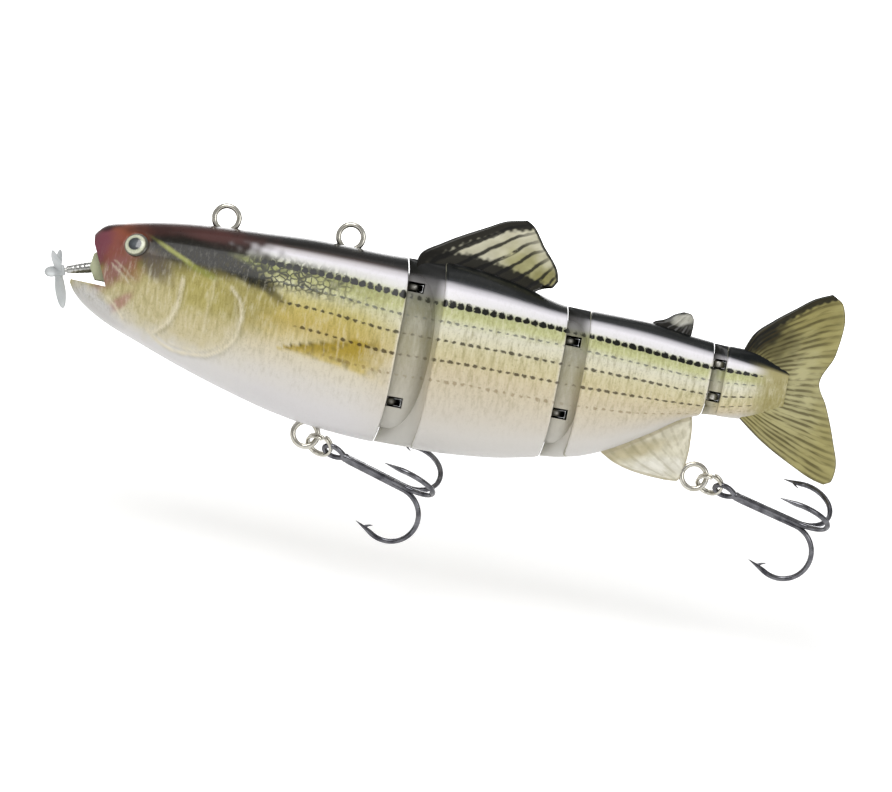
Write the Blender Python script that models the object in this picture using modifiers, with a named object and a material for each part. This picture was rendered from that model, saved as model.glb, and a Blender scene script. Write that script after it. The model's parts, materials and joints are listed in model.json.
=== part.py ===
"""Jointed, self-propelled swimbait: a hollow lure in four sections with a motor-driven propeller at the nose.

Frame: +X runs aft from the nose to the tail, -Y is the lure's left side, +Z is up, and the origin is the centre
of the front line tie. The head, mid, rear and tail sections are linked by three upright hinge pins.
"""

import math

import bmesh
import bpy
import numpy as np
from mathutils import Matrix, Vector

MM = 0.001
MERGE = 0.001 * MM  # points closer than this are one
SHARP_ANGLE = math.radians(35.0)  # between faces that are shaded apart

# Overall size of the body, without the propeller, the wire eyes and the hooks
BODY_LENGTH = 130.0 * MM
BODY_DEPTH = 31.0 * MM
BODY_WIDTH = 18.0 * MM

# The outlines below are drawn on a grid 130 long, 31 deep and 18 wide, which these scale to the real size
LONG = BODY_LENGTH / 130.0
DEEP = BODY_DEPTH / 31.0
WIDE = BODY_WIDTH / 18.0

# Moulded shells
WALL = 1.3 * MM
SEAM = 0.1 * MM  # between the left and right halves
FIT = 0.12 * MM  # around a piece that is seated in the shells
SECTION_POWER = 2.2  # of the superellipse that every cross-section follows
RING_POINTS = 20  # points around a cross-section
TURN_STEPS = 20  # steps around a turned shape
BARREL_STEPS = 8  # steps from the top of a neck's barrel to its bottom
SHOULDER_BEVEL = 0.7 * MM
FIN_THICK = 1.8 * MM
LEVEL_ROOM = 0.2  # least share of the depth above and below the widest level
CUT_WIDTH = 40.0 * MM  # of a cut that goes right through the head
BEYOND = 200.0 * MM  # farther than any part of the lure

# Hinges: a pin through the neck, and flat eyes that reach aft from the section ahead into slots in the neck
PIN_RADIUS = 0.5 * MM
PIN_CLEARANCE = 0.12 * MM
PIN_OVERHANG = 1.0 * MM  # beyond the outer face of each hinge eye
EYE_THICK = 1.1 * MM
EYE_STEM = 1.6 * MM  # width of the stem
EYE_ANCHOR = 1.6 * MM  # length of the stem behind the socket wall
SLOT_CLEARANCE = 0.3 * MM
NECK_CLEARANCE = 0.3 * MM
NECK_ROOT_DEPTH = 0.9 * MM  # that a neck is sunk into its section
NECK_TIP = 0.8  # share of the bow that a neck's upper and lower ends reach ahead of the axis
NECK_TIP_WIDTH = 0.1  # share of the body's width there
NECK_WAIST_AT = 0.35  # share of the way from the axis to the shoulder
NECK_WAIST_WIDTH = 0.36  # share of the body's width there
NECK_ROOT_WIDTH = 0.64  # share of the body's width at the root

# Wire eyes and hook hangers: a closed loop with a shank sunk into the shells
LOOP_WIRE = 0.47 * MM
LOOP_RADIUS = 2.05 * MM
LOOP_STANDOFF = 1.5 * MM  # of the loop's centre from the skin
SHANK_ROOT = LOOP_RADIUS - 0.1 * MM  # from the loop's centre to the start of its shank
SHANK_LENGTH = 3.4 * MM
POCKET_START = 1.0 * MM  # from the loop's centre to the start of the cut for its shank
TWIST_RADIUS = 0.8 * MM  # of the twisted shank
STRAIGHT_RADIUS = 0.4 * MM  # of the straight shank in the anal fin

# Split rings: two turns of round wire
RING_WIRE = 0.25 * MM
RING_RADIUS = 2.1 * MM
RING_PITCH = 0.58 * MM
RING_ROLL = 40.0  # degrees that a ring turns about the line of the chain
EYE_ROLL = 38.0  # degrees that a hook's eye turns about it the other way
LINK_REACH = 0.55 * MM  # slack from the inner face of a hanger to the ring's wire inside it
HOOK_REACH = 0.38 * MM  # slack from the ring's wire to the inner face of the hook's eye

# Treble hooks
HOOK_WIRE = 0.45 * MM
HOOK_EYE_LONG = 1.75 * MM
HOOK_EYE_WIDE = 1.35 * MM
HOOK_LENGTH = 20.2 * MM
BEND_RADIUS = 4.7 * MM
HOOK_THROAT = 4.0 * MM  # from the bend's centre forward to the point
HOOK_COUNT = 3
BEND_TURN = 200.0  # degrees that the wire turns through in the bend
BEND_STEPS = 7
WIRE_START = 0.55  # shares of the shank at which each hook's own wire leaves the core
WIRE_CLEAR = 0.8
SPEAR_RISE = 0.25 * MM  # that the spear goes on falling after the bend
SPEAR_AT = 0.75  # share of the throat at the start of the taper
SPEAR_TAPER = 0.75  # share of the wire's radius there
TIP_REACH = 0.8 * MM  # that the point goes beyond the throat
TIP_RISE = 0.5 * MM
TIP_TAPER = 0.12  # share of the wire's radius at the point
BARB_LENGTH = 1.5 * MM
BARB_BACK = 0.4 * MM  # that the barb starts ahead of the taper
BARB_SLOPE = (0.8, 0.6)  # shares of its length along the spear and away from it
BARB_ROOT_RADIUS = 0.3 * MM
BARB_TIP_RADIUS = 0.05 * MM
SHANK_CORE = 0.85 * MM
CORE_SHORT = 1.5 * MM  # that the core ends ahead of the bend

# Drive train, on an axis that points down towards the nose
SHAFT_TILT = math.radians(17.0)
SHAFT_RADIUS = 0.35 * MM
SHAFT_CLEARANCE = 0.12 * MM
TUBE_ROOT_RADIUS = 0.9 * MM
TUBE_TIP_RADIUS = 0.62 * MM
TUBE_LENGTH = 4.1 * MM  # ahead of the mouth insert
TUBE_SEATED = 2.4 * MM  # inside it
HUB_GAP = 0.3 * MM
HUB_RADIUS = 0.9 * MM
HUB_LENGTH = 2.2 * MM
HUB_BORE = 0.8  # share of the hub's length that the shaft is pressed into
SPINNER_LENGTH = 1.2 * MM
PROPELLER_RADIUS = 6.3 * MM
BLADE_COUNT = 3
BLADE_ROOT = 0.6 * HUB_RADIUS  # where a blade starts inside the hub
BLADE_CHORD = 2.5 * MM
BLADE_ROOT_CHORD = 0.42  # share of the chord at the root, which swells to the whole and falls off at the tip
BLADE_SWELL = 0.8  # power of that swell
BLADE_TIP_THICK = 0.5  # share of the thickness at the tip
BLADE_THICK = 0.5 * MM
BLADE_ROOT_PITCH = math.radians(52.0)
BLADE_TIP_PITCH = math.radians(28.0)
SEAL_RADIUS = 1.5 * MM
SEAL_THICK = 1.2 * MM
MOTOR_RADIUS = 3.0 * MM
MOTOR_LENGTH = 10.0 * MM
MOTOR_CAP = 1.4 * MM
MOTOR_GAP = 0.3 * MM
CAN_WALL = 0.35 * MM
MAGNET_THICK = 0.6 * MM
ROTOR_RADIUS = 1.5 * MM

# Electrics, ballast and eyes
BATTERY_RADIUS = 4.6 * MM
BATTERY_LENGTH = 18.0 * MM
BOARD_THICK = 0.8 * MM
BOARD_LENGTH = 15.0 * MM
BOARD_HALF_WIDTH = 4.0 * MM
LED_SIDE = 1.2 * MM
LEAD_RADIUS = 0.3 * MM
LEAD_GAP = 0.3 * MM  # between a lead's end and what it is soldered to
LEAD_SPREAD = 2.4 * MM  # of each pair of leads from the seam
LEAD_STEPS = 4
LEAD_LANDING = 2.0 * MM  # from the board's end to a motor or tie lead's joint
LEAD_RISE = 1.0 * MM  # of a motor lead's middle above the straight line
LEAD_LOOP = 1.6 * MM  # that a battery lead swings out ahead of the cell
FRONT_TIE_LANDING = 3.5 * MM  # the same for the front line tie's lead
BALLAST_RADIUS = 1.8 * MM
HEAD_BALLAST_LENGTH = 11.0 * MM
MID_BALLAST_LENGTH = 8.0 * MM
STACK_GAP = 0.4 * MM
BALLAST_LIFT = 0.7 * MM  # above the shell's floor, which curves up to each side
EYE_RADIUS = 2.0 * MM
EYE_SEAT = 0.8 * MM
EYE_DOME = 0.7 * MM
EYE_NORMAL_STEP = 0.5 * MM  # either way from the eye, for the slope of the skin
INSERT_HALF_WIDTH = 2.4 * MM
CUT_AHEAD = 3.0 * MM  # that a cut along the shaft or an eye's axis starts in the open
INSERT_CUT = 12.0 * MM  # that the shaft's bore runs back through the insert
SEAL_CUT = 10.0 * MM  # that the seal's pocket runs back through the shells
JAW_SCOOP_RADII = (3.0 * MM, 2.6 * MM, 1.7 * MM)

# Outlines on the 130 x 31 x 18 grid: (x, height) along the body, and half widths
BACK = (
    (-23.4, -14.8), (-22.2, -10.4), (-20.6, -6.4), (-19.0, -4.8), (-16.0, -3.9), (-10.0, -2.6), (-4.0, -1.8),
    (0.0, -1.5), (5.0, -1.2), (17.0, -0.6), (26.0, -0.7), (34.0, -0.5), (40.0, -0.2), (48.0, -1.2),
    (53.0, -2.4), (58.0, -3.4), (71.0, -3.5), (80.0, -4.5), (84.0, -4.8), (89.0, -4.9), (96.0, -7.0),
)
BELLY = (
    (-23.4, -15.4), (-22.6, -16.6), (-21.0, -18.1), (-19.0, -19.4), (-16.0, -20.9), (-10.0, -23.1),
    (-4.0, -25.2), (5.0, -27.9), (14.0, -30.1), (20.0, -31.0), (30.0, -31.6), (40.0, -31.4), (50.0, -30.5),
    (58.0, -28.9), (62.0, -28.2), (68.0, -26.0), (75.0, -21.8), (81.0, -17.8), (84.0, -16.8), (89.0, -16.4),
    (96.0, -13.6),
)
HALF_WIDTH = (
    (-23.4, 0.6), (-22.2, 2.4), (-20.6, 3.8), (-18.0, 5.0), (-13.0, 6.3), (-5.0, 7.7), (5.0, 8.5),
    (16.0, 9.0), (30.0, 9.0), (42.0, 8.7), (58.0, 7.4), (70.0, 5.8), (84.0, 3.7), (90.0, 2.2), (96.0, 0.8),
)
WIDEST_LEVEL = (
    (-23.4, -15.1), (-20.6, -11.0), (-13.0, -11.5), (0.0, -13.5), (20.0, -15.0), (40.0, -15.0), (60.0, -14.2),
    (75.0, -12.2), (84.0, -10.8), (96.0, -10.4),
)
MOUTH = (
    (-30.0, -14.6), (-17.3, -14.9), (-18.2, -12.9), (-19.6, -10.0), (-20.5, -8.2), (-20.8, -6.6), (-22.0, -3.0),
    (-30.0, -3.0),
)
MOUTH_INSERT = ((-20.3, -9.9), (-20.6, -12.2), (-19.4, -14.2), (-15.6, -14.2), (-15.6, -8.6), (-18.6, -8.6))
DORSAL_FIN = (
    (31.9, -2.4), (32.4, 0.2), (35.8, 2.9), (42.4, 6.7), (45.7, 8.4), (48.8, 9.1), (49.9, 8.5), (52.3, 5.5),
    (55.4, 1.4), (55.7, 0.1), (54.7, -1.2), (53.4, -1.2), (51.6, -2.8), (49.0, -4.2), (36.0, -4.2),
)
ADIPOSE_FIN = (
    (71.4, -5.6), (72.4, -3.3), (74.2, -2.5), (75.7, -1.4), (77.0, -0.8), (78.2, -0.9), (78.9, -1.7),
    (79.0, -3.0), (78.8, -6.2),
)
ANAL_FIN = (
    (66.6, -25.2), (68.4, -26.4), (70.4, -27.4), (73.5, -28.2), (76.4, -28.5), (79.1, -28.6), (81.1, -28.4),
    (82.0, -25.8), (82.2, -23.0), (82.0, -19.6), (81.4, -16.6), (76.0, -19.6),
)
TAIL_FIN = (
    (87.4, -6.4), (89.0, -2.2), (92.0, 0.8), (95.0, 3.2), (98.0, 5.5), (100.6, 6.7), (102.6, 5.4),
    (103.5, 2.0), (103.0, -3.0), (101.2, -8.0), (103.0, -11.6), (105.2, -17.0), (106.5, -21.5),
    (106.2, -23.6), (105.0, -24.4), (103.2, -24.0), (99.0, -22.2), (94.0, -19.6), (88.0, -15.4),
)

# Joints between the sections on the same grid: the axis, the rear edge ahead of it and the shoulder behind it,
# how far both edges bow forward at the back and belly, and the heights of the two hinge eyes. The rest is in
# real size: the hinge eye's radius, the skin left beside the socket and the cover left above and below it.
HINGES = {
    "front": {
        "x": 32.3, "edge": 31.7, "shoulder": 37.9, "bow": 1.1, "eyes": (-5.3, -24.5),
        "plate": 1.65 * MM, "rim": 1.7 * MM, "cover": 2.2 * MM,
    },
    "middle": {
        "x": 59.3, "edge": 58.7, "shoulder": 62.5, "bow": 0.8, "eyes": (-9.1, -21.2),
        "plate": 1.65 * MM, "rim": 1.4 * MM, "cover": 2.0 * MM,
    },
    "tail": {
        "x": 84.2, "edge": 83.2, "shoulder": 85.5, "bow": 0.4, "eyes": (-8.2, -13.6),
        "plate": 1.1 * MM, "rim": 0.9 * MM, "cover": 1.2 * MM,
    },
}

# Other places on the grid
HEAD_FRONT = -23.4
HOLLOW_FRONT = -15.0
JAW_SCOOP = (-19.6, -15.0)
TAIL_ROOT_END = 96.0
FRONT_TIE_X = 0.0
REAR_TIE_X = 20.7
BELLY_HANGER_X = 19.5
REAR_HANGER = (83.8, -27.1)
REAR_SHANK_TILT = math.radians(165.0)  # of the rear hanger's shank from +X
EYE_AT = (-13.6, -7.1)
SHAFT_NOSE = (-20.4, -12.2)
MOTOR_FRONT = 7.4 * LONG  # along the shaft, aft of SHAFT_NOSE
BATTERY_X = 3.2
BOARD_X = 4.2
HEAD_BALLAST_X = 7.0
MID_BALLAST_X = 41.0

# Degrees above +X that the split ring and the hook lie at, and the hook's roll about its shank
BELLY_CHAIN = (-26.0, -16.0, 15.0)
REAR_CHAIN = (-16.0, -13.5, 12.0)

FINISHES = {
    "printed_abs": ("b9b38c", 0.25, 0.0),
    "insert_plastic": ("c9cfae", 0.35, 0.0),
    "eye_resin": ("e3dcc0", 0.1, 0.0),
    "steel": ("c8c8c6", 0.25, 1.0),
    "black_nickel": ("3a3a3e", 0.25, 1.0),
    "copper": ("b46a3c", 0.4, 1.0),
    "rubber": ("2b2b2b", 0.8, 0.0),
    "frosted_plastic": ("dfe2e2", 0.4, 0.0),
    "ferrite": ("4a4a4c", 0.7, 0.0),
    "battery_wrap": ("3f6fb0", 0.4, 0.0),
    "board_green": ("2f6b45", 0.5, 0.0),
    "red_wire": ("b8302a", 0.5, 0.0),
    "black_wire": ("202020", 0.5, 0.0),
    "red_led": ("d23a32", 0.2, 0.0),
}


def smooth_line(points, across, up):
    """The curve through points, scaled by across and up, that adds no bumps of its own between them."""
    x = np.array([p[0] for p in points]) * across
    y = np.array([p[1] for p in points]) * up
    step = np.diff(x)
    slope = np.diff(y) / step
    tangent = np.zeros(len(x))
    tangent[0] = slope[0]
    tangent[-1] = slope[-1]
    for i in range(1, len(x) - 1):
        if slope[i - 1] * slope[i] > 0:
            before = 2 * step[i] + step[i - 1]
            after = step[i] + 2 * step[i - 1]
            tangent[i] = (before + after) / (before / slope[i - 1] + after / slope[i])

    def value(at):
        i = int(np.clip(np.searchsorted(x, at) - 1, 0, len(step) - 1))
        s = (at - x[i]) / step[i]
        return float(
            (1 + 2 * s) * (1 - s) ** 2 * y[i]
            + s * (1 - s) ** 2 * step[i] * tangent[i]
            + s * s * (3 - 2 * s) * y[i + 1]
            + s * s * (s - 1) * step[i] * tangent[i + 1]
        )

    return value


back_at = smooth_line(BACK, LONG, DEEP)
belly_at = smooth_line(BELLY, LONG, DEEP)
width_at = smooth_line(HALF_WIDTH, LONG, WIDE)
widest_at = smooth_line(WIDEST_LEVEL, LONG, DEEP)


def along(x):
    """Real x of a grid x."""
    return x * LONG


def placed(point):
    """Real (x, z) of a grid point."""
    return point[0] * LONG, point[1] * DEEP


# Scene helpers


def clear_scene():
    for obj in list(bpy.data.objects):
        bpy.data.objects.remove(obj, do_unlink=True)


def new_collection(name):
    collection = bpy.data.collections.new(name)
    bpy.context.scene.collection.children.link(collection)
    return collection


def finish_material(name):
    """The named Principled material, made once."""
    if name in bpy.data.materials:
        return bpy.data.materials[name]
    colour, roughness, metallic = FINISHES[name]
    material = bpy.data.materials.new(name)
    material.use_nodes = True
    shader = material.node_tree.nodes["Principled BSDF"]
    rgb = [(int(colour[i : i + 2], 16) / 255) ** 2.2 for i in (0, 2, 4)]
    shader.inputs["Base Color"].default_value = (*rgb, 1)
    shader.inputs["Roughness"].default_value = roughness
    shader.inputs["Metallic"].default_value = metallic
    return material


def body_empty(name, place, parent=None):
    """An empty on a joint's axis, which the pieces that turn about it hang from."""
    empty = bpy.data.objects.new(name, None)
    parts.objects.link(empty)
    empty.empty_display_size = 5 * MM
    empty.matrix_world = Matrix.Translation(place)
    if parent:
        empty.parent = parent
        empty.matrix_parent_inverse = Matrix.Translation(parent.matrix_world.translation).inverted()
        empty.matrix_basis = Matrix.Translation(place)
    bpy.context.view_layer.update()
    return empty


def node(name, mesh, finish, body):
    """A finished sub-part whose mesh is in world coordinates, hung from its body's empty."""
    obj = bpy.data.objects.new(name, mesh)
    mesh.name = name
    mesh.materials.clear()
    mesh.materials.append(finish_material(finish))
    mesh.shade_smooth()
    mesh.set_sharp_from_angle(angle=SHARP_ANGLE)
    parts.objects.link(obj)
    obj.parent = body
    obj.matrix_parent_inverse = body.matrix_world.inverted()
    return obj


# Shape helpers: each returns a closed mesh in world coordinates


def mesh_of(bm, turn_out=True):
    """The mesh of a closed body. Faces are turned outwards, except after a cut that may have left a hollow."""
    if turn_out:
        bmesh.ops.recalc_face_normals(bm, faces=bm.faces)
        if bm.calc_volume(signed=True) < 0:
            bmesh.ops.reverse_faces(bm, faces=bm.faces)
    mesh = bpy.data.meshes.new("shape")
    bm.to_mesh(mesh)
    bm.free()
    return mesh


def evaluated_mesh(obj, matrix=None, turn_out=True):
    """The object's mesh with its modifiers or bevel applied. The object itself is removed."""
    bpy.context.view_layer.update()
    graph = bpy.context.evaluated_depsgraph_get()
    mesh = bpy.data.meshes.new_from_object(obj.evaluated_get(graph))
    mesh.transform(obj.matrix_world)
    bpy.data.objects.remove(obj, do_unlink=True)
    bm = bmesh.new()
    bm.from_mesh(mesh)
    bmesh.ops.remove_doubles(bm, verts=bm.verts, dist=MERGE)
    bpy.data.meshes.remove(mesh)
    if matrix:
        bm.transform(matrix)
    return mesh_of(bm, turn_out)


def helper(name, data):
    """A guide or cutter, which is left out of the object."""
    obj = bpy.data.objects.new(name, data)
    cutters.objects.link(obj)
    obj.hide_render = True
    if obj.type == "MESH":
        obj.display_type = "WIRE"
    return obj


def combined(mesh, others, operation):
    """The mesh after a Boolean with each of the others in turn."""
    obj = helper("target", mesh)
    tools = [helper("tool", other) for other in others]
    for tool in tools:
        modifier = obj.modifiers.new("boolean", "BOOLEAN")
        modifier.operation = operation
        modifier.solver = "EXACT"
        modifier.object = tool
    made = evaluated_mesh(obj, turn_out=False)
    for tool in tools:
        bpy.data.objects.remove(tool, do_unlink=True)
    return made


def cut(mesh, *others):
    return combined(mesh, others, "DIFFERENCE")


def joined(mesh, *others):
    return combined(mesh, others, "UNION")


def loft(rings):
    """A closed body through rings of the same number of points, each end closed on its own centre."""
    bm = bmesh.new()
    rows = [[bm.verts.new(point) for point in ring] for ring in rings]
    count = len(rings[0])
    for first, second in zip(rows, rows[1:]):
        for i in range(count):
            j = (i + 1) % count
            bm.faces.new((first[i], first[j], second[j], second[i]))
    for row, ring in ((rows[0], rings[0]), (rows[-1], rings[-1])):
        centre = bm.verts.new(sum(ring, Vector()) / count)
        for i in range(count):
            bm.faces.new((row[i], row[(i + 1) % count], centre))
    return mesh_of(bm)


def turned(profile, matrix, steps=TURN_STEPS, closed=False):
    """A profile of (radius, height) points, from top to bottom, turned about its own Z."""
    mesh = bpy.data.meshes.new("profile")
    edges = [(i, i + 1) for i in range(len(profile) - 1)]
    if closed:
        edges.append((len(profile) - 1, 0))
    mesh.from_pydata([(radius, 0, height) for radius, height in profile], edges, [])
    obj = helper("profile", mesh)
    screw = obj.modifiers.new("screw", "SCREW")
    screw.steps = steps
    screw.render_steps = steps
    screw.use_merge_vertices = True
    screw.merge_threshold = MERGE
    return evaluated_mesh(obj, matrix)


def wire(points, radius, matrix=None, closed=False, sides=2, tapers=None):
    """A round wire along the points, at tapers of its radius."""
    curve = bpy.data.curves.new("wire", "CURVE")
    curve.dimensions = "3D"
    curve.bevel_depth = radius
    curve.bevel_resolution = sides
    curve.use_fill_caps = True
    spline = curve.splines.new("POLY")
    spline.points.add(len(points) - 1)
    for i, point in enumerate(points):
        spline.points[i].co = (*point, 1)
        spline.points[i].radius = tapers[i] if tapers else 1
    spline.use_cyclic_u = closed
    return evaluated_mesh(helper("wire", curve), matrix)


def plate(outline, thickness, matrix):
    """A flat outline of (x, y) points, extruded to its thickness about its own Z."""
    curve = bpy.data.curves.new("plate", "CURVE")
    curve.dimensions = "2D"
    curve.fill_mode = "BOTH"
    curve.extrude = thickness / 2
    spline = curve.splines.new("POLY")
    spline.points.add(len(outline) - 1)
    for i, (x, y) in enumerate(outline):
        spline.points[i].co = (x, y, 0, 1)
    spline.use_cyclic_u = True
    return evaluated_mesh(helper("plate", curve), matrix)


def rod(start, end, radius, end_radius=None, steps=16):
    """A cylinder or cone between two points."""
    axis = end - start
    bm = bmesh.new()
    turn = Vector((0, 0, 1)).rotation_difference(axis).to_matrix().to_4x4()
    bmesh.ops.create_cone(
        bm, cap_ends=True, segments=steps, radius1=radius,
        radius2=radius if end_radius is None else end_radius, depth=axis.length,
        matrix=Matrix.Translation((start + end) / 2) @ turn,
    )
    return mesh_of(bm)


def box(low, high):
    """A box between two corners."""
    low = Vector(low)
    high = Vector(high)
    bm = bmesh.new()
    bmesh.ops.create_cube(
        bm, size=1, matrix=Matrix.Translation((low + high) / 2) @ Matrix.Diagonal((*(high - low), 1))
    )
    return mesh_of(bm)


UPRIGHT = Matrix.Rotation(math.radians(90), 4, "X")  # turns a flat outline up into the plane of the fins


def fin(outline, thickness=FIN_THICK):
    return plate([placed(point) for point in outline], thickness, UPRIGHT)


# Body sections


def power_curve(angle):
    """A point of the unit superellipse."""
    power = 2 / SECTION_POWER
    c = math.cos(angle)
    s = math.sin(angle)
    return math.copysign(abs(c) ** power, c), math.copysign(abs(s) ** power, s)


def section_ring(x, inset=0.0, narrow=1.0, bow=0.0):
    """The cross-section at x, inset from the skin, narrowed, and bowed forward at the back and belly."""
    top = back_at(x) - inset
    bottom = belly_at(x) + inset
    half = (width_at(x) - inset) * narrow
    level = min(max(widest_at(x), bottom + LEVEL_ROOM * (top - bottom)), top - LEVEL_ROOM * (top - bottom))
    ring = []
    for i in range(RING_POINTS):
        across, up = power_curve(2 * math.pi * i / RING_POINTS)
        z = level + up * (top - level if up > 0 else level - bottom)
        height = (2 * z - top - bottom) / (top - bottom)
        ring.append(Vector((x - bow * height**4, half * across, z)))
    return ring


def stations(start, end, count):
    return list(np.linspace(start, end, count))


def hinge_x(hinge):
    return along(hinge["x"])


def socket_size(hinge):
    """Radius, level, top and bottom of the socket."""
    x = hinge_x(hinge)
    return (
        width_at(x) - hinge["rim"],
        widest_at(x),
        back_at(x) - hinge["cover"],
        belly_at(x) + hinge["cover"],
    )


def barrel(hinge, inset):
    """The egg-shaped barrel of a neck, turned about the hinge axis, or its socket when inset is zero."""
    half, level, top, bottom = socket_size(hinge)
    profile = []
    for i in range(BARREL_STEPS + 1):
        across, up = power_curve(math.pi * (0.5 - i / BARREL_STEPS))
        rise = top - inset - level if up > 0 else level - bottom - inset
        profile.append((max((half - inset) * across, 0), level + up * rise))
    return turned(profile, Matrix.Translation((hinge_x(hinge), 0, 0)))


def socket_radius(hinge, z):
    """Radius of the socket at a height."""
    half, level, top, bottom = socket_size(hinge)
    share = (z - level) / (top - level if z > level else level - bottom)
    return half * max(1 - abs(share) ** SECTION_POWER, 0) ** (1 / SECTION_POWER)


def eye_heights(hinge):
    return [z * DEEP for z in hinge["eyes"]]


def skin(start, end, count, front=None, rear=None):
    """The outer form of a section between a front shoulder and a rear edge, where it has them."""
    rings = []
    if front:
        bow = front["bow"] * LONG
        rings.append(section_ring(start, narrow=1 - SHOULDER_BEVEL / width_at(start), bow=bow))
        start += SHOULDER_BEVEL
        rings.append(section_ring(start, bow=bow))
        start += 2 * bow
    last = end - 2 * rear["bow"] * LONG if rear else end
    rings += [section_ring(x) for x in stations(start, last, count)]
    if rear:
        rings.append(section_ring(end, bow=rear["bow"] * LONG))
    return loft(rings)


def hollow(start, end, count):
    """The space inside the shells."""
    return loft([section_ring(x, inset=WALL) for x in stations(start, end, count)])


def neck(hinge):
    """Barrel and ridge that join a section to the hinge ahead of it."""
    x = hinge_x(hinge)
    shoulder = along(hinge["shoulder"])
    reach = shoulder - x
    tip = section_ring(x - NECK_TIP * hinge["bow"] * LONG, narrow=NECK_TIP_WIDTH)
    middle = section_ring(x + NECK_WAIST_AT * reach, narrow=NECK_WAIST_WIDTH)
    root = section_ring(shoulder + NECK_ROOT_DEPTH, narrow=NECK_ROOT_WIDTH)
    return joined(barrel(hinge, NECK_CLEARANCE), loft([tip, middle, root]))


def hinge_cuts(hinge):
    """Slots and pin hole in the neck."""
    x = hinge_x(hinge)
    half = socket_size(hinge)[0]
    slot = EYE_THICK / 2 + SLOT_CLEARANCE
    cuts = []
    for z in eye_heights(hinge):
        cuts.append(box(
            (x - half - 1 * MM, -half - 1 * MM, z - slot),
            (x + hinge["plate"] + SLOT_CLEARANCE, half + 1 * MM, z + slot),
        ))
    start, end = pin_ends(hinge)
    cuts.append(rod(end - Vector((0, 0, FIT)), start + Vector((0, 0, FIT)), PIN_RADIUS + FIT))
    return cuts


def pin_ends(hinge):
    upper, lower = eye_heights(hinge)
    beyond = EYE_THICK / 2 + PIN_OVERHANG
    return Vector((hinge_x(hinge), 0, upper + beyond)), Vector((hinge_x(hinge), 0, lower - beyond))


def stem_box(hinge, z, grow):
    """The stem of a hinge eye, or its pocket when it grows."""
    x = hinge_x(hinge)
    return box(
        (x - socket_radius(hinge, z) - EYE_ANCHOR - grow, -EYE_STEM / 2 - grow, z - EYE_THICK / 2 - grow),
        (x - hinge["plate"] / 2, EYE_STEM / 2 + grow, z + EYE_THICK / 2 + grow),
    )


def hinge_eye(hinge, z):
    x = hinge_x(hinge)
    half = Vector((0, 0, EYE_THICK / 2))
    centre = Vector((x, 0, z))
    disc = rod(centre - half, centre + half, hinge["plate"])
    body = joined(disc, stem_box(hinge, z, 0))
    return cut(body, rod(centre - 2 * half, centre + 2 * half, PIN_RADIUS + PIN_CLEARANCE))


def halves(name, whole, finish, body):
    """Left and right shells, parted at the seam."""
    for side, sign in (("left", 1), ("right", -1)):
        away = sorted((-sign * SEAM / 2, sign * BEYOND))
        other = box((-BEYOND, away[0], -BEYOND), (BEYOND, away[1], BEYOND))
        node(f"{name}_{side}", cut(whole.copy(), other), finish, body)


# Wire eyes, rings and hooks


def circle(radius, steps, across=None):
    """Points around an ellipse in the X-Z plane."""
    across = across or radius
    return [
        (radius * math.cos(2 * math.pi * i / steps), 0, across * math.sin(2 * math.pi * i / steps))
        for i in range(steps)
    ]


def direction(angle):
    """The unit vector at an angle above +X in the X-Z plane."""
    return Vector((math.cos(angle), 0, math.sin(angle)))


def loop_eye(centre, shank_angle, shank_radius):
    """A closed wire loop with a shank."""
    ring = wire(circle(LOOP_RADIUS, 16), LOOP_WIRE, Matrix.Translation(centre), closed=True)
    way = direction(shank_angle)
    start = centre + way * SHANK_ROOT
    return joined(ring, rod(start, start + way * SHANK_LENGTH, shank_radius, steps=12))


def loop_pocket(centre, shank_angle, shank_radius):
    """The room that a loop and its shank need in the shells."""
    side = Vector((0, LOOP_WIRE + FIT, 0))
    disc = rod(centre - side, centre + side, LOOP_RADIUS + LOOP_WIRE + FIT, steps=24)
    way = direction(shank_angle)
    end = centre + way * (SHANK_ROOT + SHANK_LENGTH + FIT)
    return joined(disc, rod(centre + way * POCKET_START, end, shank_radius + FIT, steps=12))


def chain_matrix(place, angle, roll):
    """A frame at place whose +X runs down the chain, rolled about it."""
    return Matrix.Translation(place) @ Matrix.Rotation(-angle, 4, "Y") @ Matrix.Rotation(roll, 4, "X")


def split_ring(centre, angle):
    """Two turns of wire, wound about the Y axis of the rolled chain frame."""
    steps = 32
    points = []
    for i in range(steps + 1):
        turn = 4 * math.pi * i / steps + math.pi / 2
        points.append((
            RING_RADIUS * math.cos(turn),
            RING_PITCH * (2 * i / steps - 1),
            RING_RADIUS * math.sin(turn),
        ))
    return wire(points, RING_WIRE, chain_matrix(centre, angle, math.radians(90.0 - RING_ROLL)))


def hook_path():
    """Centreline of one hook in its own X-Z plane, from inside the shank to the point."""
    bend_x = HOOK_LENGTH - BEND_RADIUS - HOOK_WIRE
    offset = SHANK_CORE - HOOK_WIRE
    points = [(bend_x * WIRE_START, 0, -offset), (bend_x * WIRE_CLEAR, 0, -offset)]
    tapers = [1, 1]
    for i in range(BEND_STEPS + 1):
        turn = math.radians(-90 + BEND_TURN * i / BEND_STEPS)
        points.append((
            bend_x + BEND_RADIUS * math.cos(turn),
            0,
            -offset - BEND_RADIUS * (1 + math.sin(turn)),
        ))
        tapers.append(1)
    tip_z = points[-1][2] + SPEAR_RISE
    points.append((bend_x - SPEAR_AT * HOOK_THROAT, 0, tip_z))
    tapers.append(SPEAR_TAPER)
    points.append((bend_x - HOOK_THROAT - TIP_REACH, 0, tip_z + TIP_RISE))
    tapers.append(TIP_TAPER)
    return points, tapers


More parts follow.
